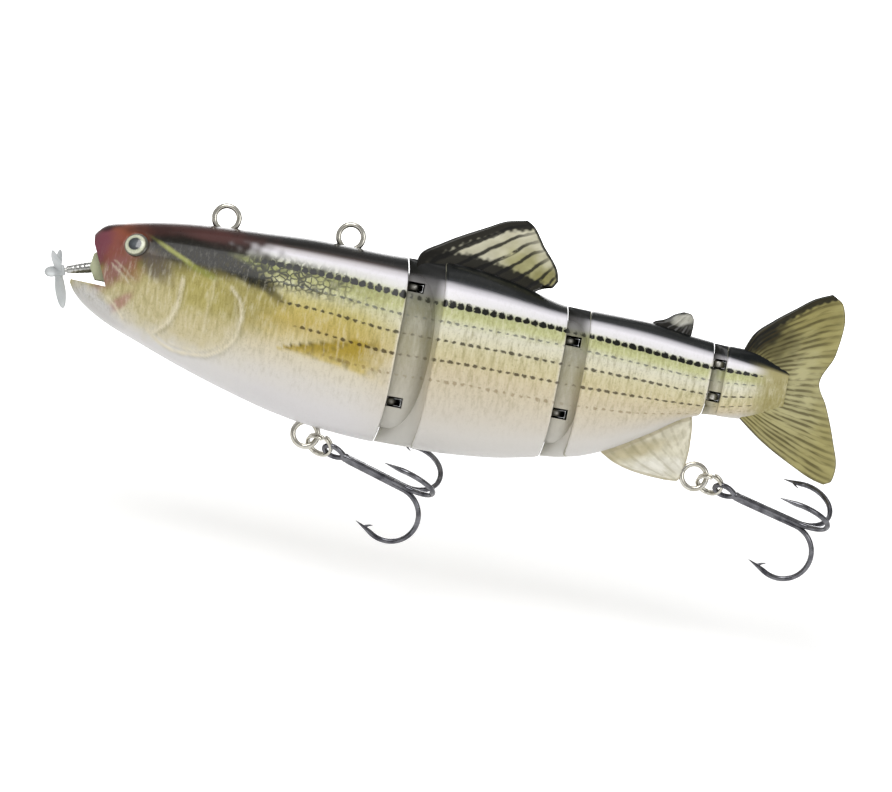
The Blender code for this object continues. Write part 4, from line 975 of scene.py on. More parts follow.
@dataclass(frozen=True)
class PrintedFilm:
    """A fish print on film under clear lacquer, over moulded ABS.

    The sprayed colours are laid on the points. Its spots, mottles, scales and relief come from nodes, so that they
    stay crisp: a spot is one cell of a grid that follows the rows, with a size and a strength of its own.
    """

    name: str = "printed_film_under_gloss_lacquer"
    mottle_wide: float = 0.55
    mottle_tall: float = 2.4
    scale_relief: float = 0.02
    fade: float = 1.9

    def layers(self, points: Array) -> dict[str, Array]:
        """Colours and print coordinates for a piece of skin.

        Args:
            points: n x 3 in millimetres.

        Returns:
            The paint with the strength of its mottles as alpha, the ink with its strength as alpha, the strength
            of the net on the shoulder, and the UV.
        """
        x, z = points[:, 0], points[:, 2]
        row = print_row(x, z)
        gold = 1 - smooth_step(24.0, 36.0, x)
        # The flank colours carry the painted highlight band along the upper flank.
        flank = ramp(FLANK_COLOURS_WITH_HIGHLIGHT, row)
        flank = washed(flank, ramp(GOLD_COLOURS_WITH_HIGHLIGHT, row), gold)
        aft = smooth_step(2.0, 12.0, x + 2.2 * breakup(x, z))
        colour = washed(ramp(HEAD_COLOURS, row), flank, aft)
        for spray in HEAD_SPRAYS:
            colour = spray.over(colour, x, z)
        colour = Pectoral().over(colour, x, z)
        # Painted highlight along each raised line of the gill cover and jaw, and painted shade 0.5 mm aft of it and 0.3
        # mm below it.
        pale = ridge_share(x, z)[1] * 0.8
        shade = ridge_share(x - 0.5, z + 0.3)[1] * 0.3
        colour = washed(colour, "5d5530", shade)
        colour = washed(colour, "ece3c8", pale)
        root = smooth_step(88.5, 93.5, x)
        colour = washed(colour, "a39a68", root * smooth_step(0.3, 0.6, row))
        skin = np.abs(points[:, 1]) > skin_width(x, z) - 0.5
        colour[~skin] = linear("a5a38f")
        # Painted highlight: a pale line along the rounded rear edge of each section, below the dark back.
        near_edge = np.zeros_like(x)
        for hinge in (FRONT_HINGE, MIDDLE_HINGE, TAIL_HINGE):
            edge = np.where(x < hinge.edge + 0.05, hinge.edge - x, 99)
            near_edge = np.maximum(near_edge, 1 - smooth_step(0.12, 0.42, edge))
        lit = near_edge * smooth_step(0.5, 0.9, row) * skin
        colour = washed(colour, "eeeadd", 0.55 * lit)
        mottle = np.interp(row, (0.0, 0.5, 0.9, 1.2, 3.0, 5.0, 6.3), (0.0, 0.05, 0.2, 0.75, 0.8, 0.55, 0.05))
        calm = 1 - 0.75 * (1 - smooth_step(0, 8, x)) * (1 - smooth_step(1.8, 2.4, row))
        colour[:, 3] = np.where(skin, mottle * calm, 0)
        ink = ramp(((0, "14150f"), (1.5, "14150f"), (2, "55585a"), (2.4, "55585a"), (3, "3a3527"), (4, "2c1f12"),
                    (5, "7a6238"), (7, "7a6238")), row)
        strength = np.interp(row, (0.55, 0.62, 0.75, 0.9, 1.2, 1.6, 2.4, 2.6, 4.4, 4.6, 5.4, 5.6),
                             (0.0, 0.0, 0.0, 1.0, 1.0, 0.5, 0.5, 0.62, 0.56, 0.36, 0.36, 0.0))
        start = np.interp(row, (1.0, 2.0, 3.0, 4.0, 5.0), (5.0, 9.0, 10.0, 13.0, 18.0))
        strength *= smooth_step(0, 3.0, x - start) * (1 - smooth_step(90.5, 92.5, x)) * skin
        ink[:, 3] = strength
        net = smooth_step(2.0, 7.0, x) * (1 - smooth_step(15.0, 27.0, x + 3 * breakup(x, z)))
        net *= smooth_step(0.72, 0.95, row) * (1 - smooth_step(2.0, 2.6, row)) * skin * 0.9
        net = np.stack([net, net, net, np.ones_like(net)], axis=-1)
        uv = np.stack([x / SPOT_PITCH, row], axis=-1)
        return {"paint": colour, "ink": ink, "shoulder": net, "uv": uv}

    def neck_layers(self, points: Array) -> dict[str, Array]:
        """The same for a neck, which is smoky plastic with a faint trace of the print under it.

        Args:
            points: n x 3 in millimetres.

        Returns:
            The layers.
        """
        flat = points * (1, 0, 1) + (0, 20, 0)
        made = self.layers(flat)
        paint = made["paint"]
        mottle = paint[:, 3] * 0.5
        x, row = points[:, 0], print_row(points[:, 0], points[:, 2])
        hinge = min((FRONT_HINGE, MIDDLE_HINGE, TAIL_HINGE), key=lambda h: abs(h.x - float(np.mean(x))))
        smoke = 0.85 - 0.7 * smooth_step(hinge.shoulder - self.fade, hinge.shoulder + 0.2, x)
        paint += smoke[:, None] * (ramp(NECK_COLOURS, row) - paint)
        paint[:, 3] = mottle
        made["ink"][:, 3] *= 0.55
        return made

    def material(self) -> bpy.types.Material:
        """The print as a material, made once.

        Returns:
            The material.
        """
        if self.name in bpy.data.materials:
            return bpy.data.materials[self.name]
        made, tree, shader = new_material(
            self.name, Specular_IOR_Level=FILM_SPECULAR, Coat_Weight=0.28, Coat_Roughness=0.12, IOR=FILM_IOR,
        )
        rows = add(tree, "ShaderNodeUVMap", uv_map="UVMap")
        place = add(tree, "ShaderNodeTexCoord", out=OBJECT_PLACE)
        ink = add(tree, "ShaderNodeAttribute", attribute_name="ink")
        ground, flecks = self.mottled(tree, place)
        net = self.net(tree, rows, place)
        ground = add(tree, "ShaderNodeMix", {0: net, 6: ground, 7: linear("17180f")}, out=2, data_type="RGBA")
        spots = self.spots(tree, rows, place)
        printed = add(tree, "ShaderNodeMix", {0: spots, 6: ground, 7: ink}, out=2, data_type="RGBA")
        rough = add(tree, "ShaderNodeMapRange", {0: flecks, 1: 0.3, 2: 0.7, 3: 0.26, 4: 0.4})
        dress_shader(tree, shader, Base_Color=printed, Roughness=rough, Normal=self.scales(tree, rows, place))
        return made

    def mottled(self, tree: bpy.types.NodeTree, place: bpy.types.NodeSocket) -> tuple[bpy.types.NodeSocket, ...]:
        """The sprayed colours with upright flecks of olive and gold, and fine olive grains of the ink.

        Args:
            tree: the material's node tree.
            place: the place in the object.

        Returns:
            The colour, and the flecks.
        """
        paint = add(tree, "ShaderNodeAttribute", attribute_name="paint")
        mottling = add(tree, "ShaderNodeAttribute", out=ALPHA, attribute_name="paint")
        tall = add(tree, "ShaderNodeMapping", {
            0: place, 3: (1 / (self.mottle_wide * MM), 1 / (self.mottle_wide * MM), 1 / (self.mottle_tall * MM)),
        })
        flecks = add(tree, "ShaderNodeTexNoise", {"Vector": tall, "Scale": 1.0, "Detail": 3.0, "Roughness": 0.6})
        dark = add(tree, "ShaderNodeMapRange", {0: flecks, 1: 0.5, 2: 0.7, 3: 0.0, 4: 0.55})
        pale = add(tree, "ShaderNodeMapRange", {0: flecks, 1: 0.48, 2: 0.3, 3: 0.0, 4: 0.4})
        dark = add(tree, "ShaderNodeMath", {0: dark, 1: mottling}, operation="MULTIPLY")
        pale = add(tree, "ShaderNodeMath", {0: pale, 1: mottling}, operation="MULTIPLY")
        ground = add(tree, "ShaderNodeMix", {0: dark, 6: paint, 7: linear("7d7236")}, out=2, data_type="RGBA")
        ground = add(tree, "ShaderNodeMix", {0: pale, 6: ground, 7: linear("efe9d2")}, out=2, data_type="RGBA")
        fine = add(tree, "ShaderNodeTexNoise", {"Vector": place, "Scale": 1 / (0.32 * MM), "Detail": 3.0,
                                                "Roughness": 0.7})
        fine = add(tree, "ShaderNodeMapRange", {0: fine, 1: 0.52, 2: 0.72, 3: 0.0, 4: 0.5})
        fine = add(tree, "ShaderNodeMath", {0: fine, 1: mottling}, operation="MULTIPLY")
        ground = add(tree, "ShaderNodeMix", {0: fine, 6: ground, 7: linear("6b6230")}, out=2, data_type="RGBA")
        return ground, flecks

    def spots(self, tree: bpy.types.NodeTree, rows: bpy.types.NodeSocket,
              place: bpy.types.NodeSocket) -> bpy.types.NodeSocket:
        """The spots: the distance to the middle of the cell, against a radius that differs from spot to spot.

        Args:
            tree: the material's node tree.
            rows: the print's own coordinates.
            place: the place in the object.

        Returns:
            The strength of the ink.
        """
        inked = add(tree, "ShaderNodeAttribute", out=ALPHA, attribute_name="ink")
        across = add(tree, "ShaderNodeSeparateXYZ", {0: rows}, out=0)
        row = add(tree, "ShaderNodeSeparateXYZ", {0: rows}, out=1)
        column = add(tree, "ShaderNodeMath", {0: across}, operation="FLOOR")
        nearest = add(tree, "ShaderNodeMath", {0: row}, operation="ROUND")
        cell = add(tree, "ShaderNodeCombineXYZ", {0: column, 1: nearest})
        chance = add(tree, "ShaderNodeTexWhiteNoise", {0: cell}, noise_dimensions="2D")
        wander = add(tree, "ShaderNodeTexNoise", {"Vector": place, "Scale": 1 / (0.5 * MM), "Detail": 2.0})
        jitter = add(tree, "ShaderNodeMath", {0: wander, 1: 0.5}, operation="SUBTRACT")
        local = add(tree, "ShaderNodeMath", {0: across}, operation="FRACT")
        side = add(tree, "ShaderNodeMath", {0: jitter, 1: 0.5, 2: local}, operation="MULTIPLY_ADD")
        side = add(tree, "ShaderNodeMath", {0: side, 1: 0.5}, operation="SUBTRACT")
        side = add(tree, "ShaderNodeMath", {0: side, 1: 0.82}, operation="MULTIPLY")
        down = add(tree, "ShaderNodeMath", {0: row, 1: nearest}, operation="SUBTRACT")
        down = add(tree, "ShaderNodeMath", {0: jitter, 1: 0.16, 2: down}, operation="MULTIPLY_ADD")
        down = add(tree, "ShaderNodeMath", {0: down, 1: 3.3}, operation="MULTIPLY")
        spot = add(tree, "ShaderNodeCombineXYZ", {0: side, 1: down})
        spot = add(tree, "ShaderNodeVectorMath", {0: spot}, out=1, operation="LENGTH")
        radius = add(tree, "ShaderNodeMath", {0: chance, 1: 0.1, 2: 0.02}, operation="MULTIPLY_ADD")
        radius = add(tree, "ShaderNodeMath", {0: inked, 1: 0.32, 2: radius}, operation="MULTIPLY_ADD")
        gap = add(tree, "ShaderNodeMath", {0: radius, 1: spot}, operation="SUBTRACT")
        spots = add(tree, "ShaderNodeMapRange", {0: gap, 1: -0.09, 2: 0.1}, interpolation_type="SMOOTHSTEP")
        depth = add(tree, "ShaderNodeMapRange", {0: inked, 1: 0.0, 2: 0.7})
        return add(tree, "ShaderNodeMath", {0: spots, 1: depth}, operation="MULTIPLY")

    def net(self, tree: bpy.types.NodeTree, rows: bpy.types.NodeSocket,
            place: bpy.types.NodeSocket) -> bpy.types.NodeSocket:
        """The dark net between green scales, on the shoulder only: the edges of wobbling cells.

        Args:
            tree: the material's node tree.
            rows: the print's own coordinates.
            place: the place in the object.

        Returns:
            The strength of the net.
        """
        cells = add(tree, "ShaderNodeMapping", {0: rows, 3: (1.25, 3.2, 1.0)})
        wobble = add(tree, "ShaderNodeTexNoise", {"Vector": place, "Scale": 1 / (1.1 * MM), "Detail": 2.0}, out=1)
        wobble = add(tree, "ShaderNodeVectorMath", {0: wobble, 1: (0.9, 0.9, 0.0), 2: cells}, operation="MULTIPLY_ADD")
        net = add(tree, "ShaderNodeTexVoronoi", {"Vector": wobble, "Scale": 1.0, "Randomness": 0.8},
                  feature="DISTANCE_TO_EDGE")
        net = add(tree, "ShaderNodeMapRange", {0: net, 1: 0.05, 2: 0.2, 3: 1.0, 4: 0.0})
        shoulder = add(tree, "ShaderNodeAttribute", attribute_name="shoulder", out=FACTOR)
        return add(tree, "ShaderNodeMath", {0: net, 1: shoulder}, operation="MULTIPLY")

    def scales(self, tree: bpy.types.NodeTree, rows: bpy.types.NodeSocket,
               place: bpy.types.NodeSocket) -> bpy.types.NodeSocket:
        """The bump of the scales, cells a scale wide under the lacquer, and of its grain.

        Args:
            tree: the material's node tree.
            rows: the print's own coordinates.
            place: the place in the object.

        Returns:
            The bumped normal.
        """
        plates = add(tree, "ShaderNodeMapping", {0: rows, 3: (1.0, 2.1, 1.0)})
        scales = add(tree, "ShaderNodeTexVoronoi", {"Vector": plates, "Scale": 1.0, "Randomness": 0.35})
        grain = add(tree, "ShaderNodeTexNoise", {"Vector": place, "Scale": 1 / (0.12 * MM), "Detail": 2.0})
        height = add(tree, "ShaderNodeMath", {0: grain, 1: 0.15, 2: scales}, operation="MULTIPLY_ADD")
        return add(tree, "ShaderNodeBump", {"Height": height, "Distance": self.scale_relief * MM, "Strength": 1.0})


@dataclass(frozen=True)
class FinFilm:
    """A fin printed on the same film: dark rays along the fin, which fade towards its rear edge.

    Args:
        name: the material's name.
        rays: number of rays.
        ray_tint: sRGB hex of the rays.
        ray_width: share of the pitch that a ray covers.
        ray_strength: at its darkest.
        broken: levels of the streaks between which a ray fades out.
        streak: size of the streaks along a ray, in shares of the fin.
    """

    name: str
    rays: float
    ray_tint: str
    ray_width: float
    ray_strength: float
    broken: Pair = (0.36, 0.56)
    streak: float = 0.18

    def material(self) -> bpy.types.Material:
        """The fin's film as a material, made once.

        Returns:
            The material.
        """
        made, tree, shader = new_material(
            self.name, Roughness=0.4, Specular_IOR_Level=FILM_SPECULAR, Coat_Weight=0.4, Coat_Roughness=0.05,
            IOR=FILM_IOR,
        )
        paint = add(tree, "ShaderNodeAttribute", attribute_name="paint")
        weight = add(tree, "ShaderNodeAttribute", out=ALPHA, attribute_name="paint")
        rows = add(tree, "ShaderNodeUVMap", uv_map="UVMap")
        along = add(tree, "ShaderNodeMapping", {0: rows, 3: (self.rays * 0.9, 1 / self.streak, 1.0)})
        streaks = add(tree, "ShaderNodeTexNoise", {"Vector": along, "Scale": 1.0, "Detail": 3.0})
        ray = add(tree, "ShaderNodeSeparateXYZ", {0: rows}, out=0)
        ray = add(tree, "ShaderNodeMath", {0: ray, 1: self.rays}, operation="MULTIPLY")
        ray = add(tree, "ShaderNodeMath", {0: streaks, 1: 0.5, 2: ray}, operation="MULTIPLY_ADD")
        ray = add(tree, "ShaderNodeMath", {0: ray, 1: 0.5}, operation="PINGPONG")
        lines = add(tree, "ShaderNodeMapRange", {
            0: ray, 1: self.ray_width * 0.45, 2: self.ray_width, 3: self.ray_strength, 4: 0.0,
        })
        broken = add(tree, "ShaderNodeMapRange", {0: streaks, 1: self.broken[0], 2: self.broken[1]})
        lines = add(tree, "ShaderNodeMath", {0: lines, 1: broken}, operation="MULTIPLY")
        lines = add(tree, "ShaderNodeMath", {0: lines, 1: weight}, operation="MULTIPLY")
        tone = add(tree, "ShaderNodeMapRange", {0: streaks, 1: 0.35, 2: 0.65, 3: 0.0, 4: 0.3})
        ground = add(tree, "ShaderNodeMix", {0: tone, 6: paint, 7: linear("8b8558")}, out=2, data_type="RGBA",
                     blend_type="MULTIPLY")
        inked = add(tree, "ShaderNodeMix", {0: lines, 6: ground, 7: linear(self.ray_tint)}, out=2,
                    data_type="RGBA")
        bump = add(tree, "ShaderNodeBump", {"Height": ray, "Distance": 0.05 * MM, "Strength": 0.6})
        dress_shader(tree, shader, Base_Color=inked, Normal=bump)
        return made


def paint_piece(piece: bpy.types.Object, layers: dict[str, Array]) -> None:
    """Writes colours and UV to a piece.

    Args:
        piece: the object.
        layers: colours for each point by name, and "uv".
    """
    mesh = piece.data
    for name, values in layers.items():
        if name == "uv":
            continue
        made = mesh.color_attributes.new(name=name, type="FLOAT_COLOR", domain="POINT")
        made.data.foreach_set("color", values.astype(np.float32).ravel())
    corners = np.empty(len(mesh.loops), np.int32)
    mesh.loops.foreach_get("vertex_index", corners)
    uv = mesh.uv_layers.new(name="UVMap")
    uv.data.foreach_set("uv", layers["uv"][corners].astype(np.float32).ravel())


# Sections


@dataclass
class Section:
    """A hollow section, moulded in two halves.

    Args:
        body: the body it rides on, whose shell nodes it stands for.
        start: its front end.
        end: its rear end.
        front: the hinge ahead of it, if it has one.
        rear: the hinge behind it, if it has one.
        hollow_start: front of the space inside.
        hollow_end: rear of the space inside.
    """

    body: str
    start: float
    end: float
    front: Hinge | None = None
    rear: Hinge | None = None
    hollow_start: float = 0.0
    hollow_end: float = 0.0
    step: float = 0.36
    columns: int = 96
    front_round: float = 0.5
    rear_round: float = 0.3
    neck_depth: float = 0.9
    film: PrintedFilm = field(default_factory=PrintedFilm)

    def stations(self) -> Array:
        """Places of the cross-sections: even steps, drawn together at both rounded ends.

        Returns:
            The x of each.
        """
        steps = int((self.end - self.start) / self.step)
        middle = np.linspace(self.start + self.front_round, self.end - self.rear_round, steps)
        ease = 1 - np.cos(np.linspace(0, math.pi / 2, 7))
        front = self.start + ease * self.front_round
        rear = self.end - ease[::-1] * self.rear_round
        return np.concatenate((front[:-1], middle, rear[1:]))

    def relief(self, x: Array, z: Array) -> Array:
        """Height of the moulded relief on the skin."""
        return np.zeros_like(x)

    def half(self, side: Side) -> Shape:
        """One half of the shell.

        Across the body the skin is a superellipse: y = w |cos a|^(2/p) and z = m + h |sin a|^(2/p) from the top
        round to the bottom. The inside is the greater of the hollow, the socket and the seam.

        Args:
            side: which half.

        Returns:
            A closed shape.
        """
        x = self.stations()[:, None]
        top, bottom, level, half = section_limits(x)
        turn = np.linspace(math.pi / 2, -math.pi / 2, self.columns)[None, :]
        power = 2 / SECTION_POWER
        across = np.abs(np.cos(turn)) ** power
        up = np.sign(np.sin(turn)) * np.abs(np.sin(turn)) ** power
        front_share = np.clip(1 - (x - self.start) / self.front_round, 0, 1)
        rear_share = np.clip(1 - (self.end - x) / self.rear_round, 0, 1)
        inset = self.front_round * (1 - np.sqrt(1 - front_share**2)) * bool(self.front)
        inset = inset + self.rear_round * (1 - np.sqrt(1 - rear_share**2)) * bool(self.rear)
        z = level + up * (np.where(up > 0, top - level, level - bottom) - inset)
        x = np.broadcast_to(x, z.shape)
        outer = np.maximum(half * across - inset, SEAM / 2) + self.relief(x, z) * (across > 0.35)
        inner = np.full_like(outer, SEAM / 2)
        hollow = skin_width(x, z, WALL) * (x > self.hollow_start) * (x < self.hollow_end)
        inner = np.maximum(inner, hollow)
        if self.rear:
            radius = self.rear.radius(z)
            inner = np.maximum(inner, np.sqrt(np.maximum(radius**2 - (x - self.rear.x) ** 2, 0)))
        inner = np.clip(inner, SEAM / 2, np.maximum(outer - 0.25, SEAM / 2))
        height = (2 * z - top - bottom) / (top - bottom)
        bowed = np.array(x)
        if self.rear:
            reach = 2 * self.rear.bow
            bowed = bowed - self.rear.bow * height**4 * np.clip(1 - (self.end - x) / reach, 0, 1)
        if self.front:
            reach = 2 * self.front.bow
            bowed = bowed - self.front.bow * height**4 * np.clip(1 - (x - self.start) / reach, 0, 1)
        y = side.value
        return between(np.stack([bowed, y * outer, z], axis=-1), np.stack([bowed, y * inner, z], axis=-1))

    def barrel(self, side: Side) -> Shape:
        """One half of the barrel that turns in the socket ahead, round about the hinge axis at every height.

        Args:
            side: which half.

        Returns:
            A closed shape.
        """
        hinge = self.front
        radius, level, top, bottom = hinge.socket()
        power = 2 / SECTION_POWER
        turn = np.linspace(math.pi / 2, -math.pi / 2, 60)[:, None]
        up = np.sign(np.sin(turn)) * np.abs(np.sin(turn)) ** power
        z = level + up * np.where(up > 0, top - hinge.clearance - level, level - bottom - hinge.clearance)
        size = (radius - hinge.clearance) * np.abs(np.cos(turn)) ** power
        round_turn = np.linspace(math.pi, 0, 56)[None, :]
        x = hinge.x + size * np.cos(round_turn)
        y = (SEAM / 2 + 0.99 * size * np.sin(round_turn)) * side.value
        z = np.broadcast_to(z, x.shape)
        seam = np.full_like(x, side.value * SEAM / 2)
        return between(np.stack([x, y, z], axis=-1), np.stack([x, seam, z], axis=-1))

    def ridge(self, side: Side) -> Shape:
        """One half of the ridge from the barrel back to the shoulder: the body's own section, drawn narrower.

        Args:
            side: which half.

        Returns:
            A closed shape.
        """
        hinge = self.front
        power = 2 / SECTION_POWER
        turn = np.linspace(math.pi / 2, -math.pi / 2, 60)[None, :]
        reach = hinge.shoulder - hinge.x
        first = hinge.edge + 0.5 * hinge.clearance
        last = hinge.shoulder + self.neck_depth
        narrow = Outline(((first, 0.06), (hinge.x + 0.35 * reach, 0.36), (last, 0.64)))
        x = np.linspace(first, last, 40)[:, None]
        top, bottom, level, half = section_limits(x)
        across = np.abs(np.cos(turn)) ** power
        up = np.sign(np.sin(turn)) * np.abs(np.sin(turn)) ** power
        z = level + up * (np.where(up > 0, top - level, level - bottom) - 0.12)
        y = (SEAM / 2 + 0.99 * half * narrow(x) * across) * side.value
        height = (2 * z - top - bottom) / (top - bottom)
        x = x - hinge.bow * height**4 * np.clip(1 - (x - first) / (2 * hinge.bow), 0, 1)
        seam = np.full_like(y, side.value * SEAM / 2)
        return between(np.stack([x, y, z], axis=-1), np.stack([x, seam, z], axis=-1))

    def neck(self, side: Side) -> Shape:
        """One half of the neck: the barrel and the ridge, with the slots for the hinge eyes.

        Args:
            side: which half.

        Returns:
            Both bodies in one shape.
        """
        hinge = self.front
        radius = hinge.socket()[0]
        slots = []
        deep, tight = hinge.slot_clearance, hinge.web_clearance
        for height in hinge.eye_heights:
            for room, web in ((deep, side.value * hinge.web), (tight, -side.value * (radius + 1))):
                up = hinge.eye_thick / 2 + room
                ends = sorted((web, side.value * (radius + 1)))
                slots.append(block((hinge.x - radius - 1, ends[0], height - up),
                                   (hinge.x + hinge.plate + room, ends[1], height + up)))
        return cut(self.barrel(side), *slots) + cut(self.ridge(side), *slots)

    def finished_half(self, side: Side) -> Shape:
        """The half with whatever is cut from it."""
        return self.half(side)

    def build(self) -> list[bpy.types.Object]:
        """Builds, dresses and mounts both halves, and the neck if there is one.

        Returns:
            The pieces.
        """
        pieces = []
        for side in Side:
            shape = self.finished_half(side)
            piece = shape.piece(f"{self.body}_shell_{side.word}_skin")
            paint_piece(piece, self.film.layers(shape.points))
            piece.data.materials.append(self.film.material())
            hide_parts(f"{self.body}_shell_{side.word}")
            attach(piece, self.body)
            pieces.append(piece)
            if self.front:
                shape = self.neck(side)
                neck = shape.piece(f"{self.body}_neck_{side.word}")
                paint_piece(neck, self.film.neck_layers(shape.points))
                neck.data.materials.append(self.film.material())
                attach(neck, self.body)
                pieces.append(neck)
        return pieces


@dataclass
class Head(Section):
    """The head, with its open mouth, gill covers, eyes, bulkhead and shaft tube."""

    mouth: tuple[Pair, ...] = (
        (-30.0, -14.6), (-17.3, -14.9), (-18.2, -12.9), (-19.6, -10.0), (-20.5, -8.2), (-20.8, -6.6),
        (-22.0, -3.0), (-30.0, -3.0),
    )
    scoop_at: Pair = (-19.6, -15.0)
    scoop_radii: tuple[float, float, float] = (3.0, 2.6, 1.7)
    eye_radius: float = 2.0
    eye_dome: float = 0.7
    eye_seat: float = 0.7

    def relief(self, x: Array, z: Array) -> Array:
        """The gill cover's and jaw's raised lines, and a rim round the eye.

        Args:
            x: along the body.
            z: height.

        Returns:
            The height of the relief.
        """
        at = self.eye_place()
        ring = np.hypot(x - at[0], z - at[1]) - self.eye_radius - EYE_SOCKET_RIM
        return ridge_share(x, z)[0] + 0.16 * np.exp(-((ring / EYE_SOCKET_RIM) ** 2))

    def eye_place(self) -> Pair:
        """(x, z) of the left eye's middle."""
        low, high = node_box("eye_left")
        return float(low[0] + high[0]) / 2, float(low[2] + high[2]) / 2

    def finished_half(self, side: Side) -> Shape:
        """The half with the mouth and the hollow of the lower jaw cut out.

        Args:
            side: which half.

        Returns:
            A closed shape.
        """
        outline = np.array(self.mouth)
        sheets = []
        for y in (-14.0, 14.0):
            sheets.append(np.stack([outline[:, 0], np.full(len(outline), y), outline[:, 1]], axis=-1))
        count = len(outline)
        faces = quads(2, count, wrap_columns=True).tolist() + caps(count, 2 * count)
        prism = Shape(np.concatenate(sheets), faces).turned_out()
        turn = np.linspace(0, math.pi, 30)
        ball = turned(tuple(zip(np.sin(turn), np.cos(turn))), steps=40)
        ball.points = ball.points * self.scoop_radii + (self.scoop_at[0], 0, self.scoop_at[1])
        return cut(self.half(side), prism, ball)

    def eye_matrix(self, side: Side) -> Matrix:
        """Where an eye sits: on the skin, with +Z along the skin's normal.

        Args:
            side: which eye.

        Returns:
            The eye's frame, in millimetres.
        """
        x, z = self.eye_place()
        step = 0.5

        def skin(dx: float, dz: float) -> Vector:
            width = float(skin_width(np.array(x + dx), np.array(z + dz)))
            return Vector((x + dx, side.value * width, z + dz))

        normal = (skin(0, step) - skin(0, -step)).cross(skin(step, 0) - skin(-step, 0)).normalized()
        if normal.y * side.value < 0:
            normal.negate()
        turn = Vector((0, 0, 1)).rotation_difference(normal).to_matrix().to_4x4()
        return Matrix.Translation(skin(0, 0)) @ turn

    def build_eyes(self) -> list[bpy.types.Object]:
        """Domed eyes with a printed iris under the resin: rings of colour by distance from the middle, with a painted
        highlight in the middle of the pupil.

        Returns:
            The pieces.
        """
        # The grey at the middle of the pupil, fading to dark by 0.47, is a painted highlight.
        rings = (
            (0.0, "4b545a"), (0.3, "333b40"), (0.47, "22282c"), (0.52, "2b3033"), (0.56, "b9bda4"),
            (0.66, "d9dcc0"), (0.8, "dfe0c6"), (0.86, "8d8d74"), (0.9, "55543f"), (1.0, "3a382c"),
        )
        turn = np.linspace(0, math.pi / 2, 40)
        profile = list(zip(self.eye_radius * np.sin(turn), self.eye_dome * np.cos(turn)))
        shape = turned([*profile, (self.eye_radius, -self.eye_seat)], steps=64)
        reach = np.hypot(shape.points[:, 0] + 0.18, shape.points[:, 1] + 0.05) / self.eye_radius
        pieces = []
        for side in Side:
            piece = shape.moved(self.eye_matrix(side)).piece(f"eye_{side.word}_domed")
            paint_piece(piece, {"paint": ramp(rings, reach), "uv": np.stack([reach, reach], axis=-1)})
            piece.data.materials.append(eye_resin())
            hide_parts(f"eye_{side.word}")
            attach(piece, self.body)
            pieces.append(piece)
        return pieces


def eye_resin() -> bpy.types.Material:
    """Clear epoxy cast over a printed iris: the print with faint radial flecks, under a coat like glass.

    Returns:
        The material.
    """
    name = "epoxy_dome_over_printed_iris"
    if name in bpy.data.materials:
        return bpy.data.materials[name]
    made, tree, shader = new_material(name, Roughness=0.35, Coat_Weight=1.0, Coat_Roughness=0.02, Coat_IOR=1.55)
    paint = add(tree, "ShaderNodeAttribute", attribute_name="paint")
    place = add(tree, "ShaderNodeTexCoord", out=OBJECT_PLACE)
    flecks = add(tree, "ShaderNodeTexNoise", {"Vector": place, "Scale": 1 / (0.25 * MM), "Detail": 3.0})
    share = add(tree, "ShaderNodeMapRange", {0: flecks, 1: 0.4, 2: 0.7, 3: 0.0, 4: 0.35})
    tone = add(tree, "ShaderNodeMix", {0: share, 6: paint, 7: linear("8f9080")}, out=2, data_type="RGBA",
               blend_type="MULTIPLY")
    dress_shader(tree, shader, Base_Color=tone)
    return made


# Fins


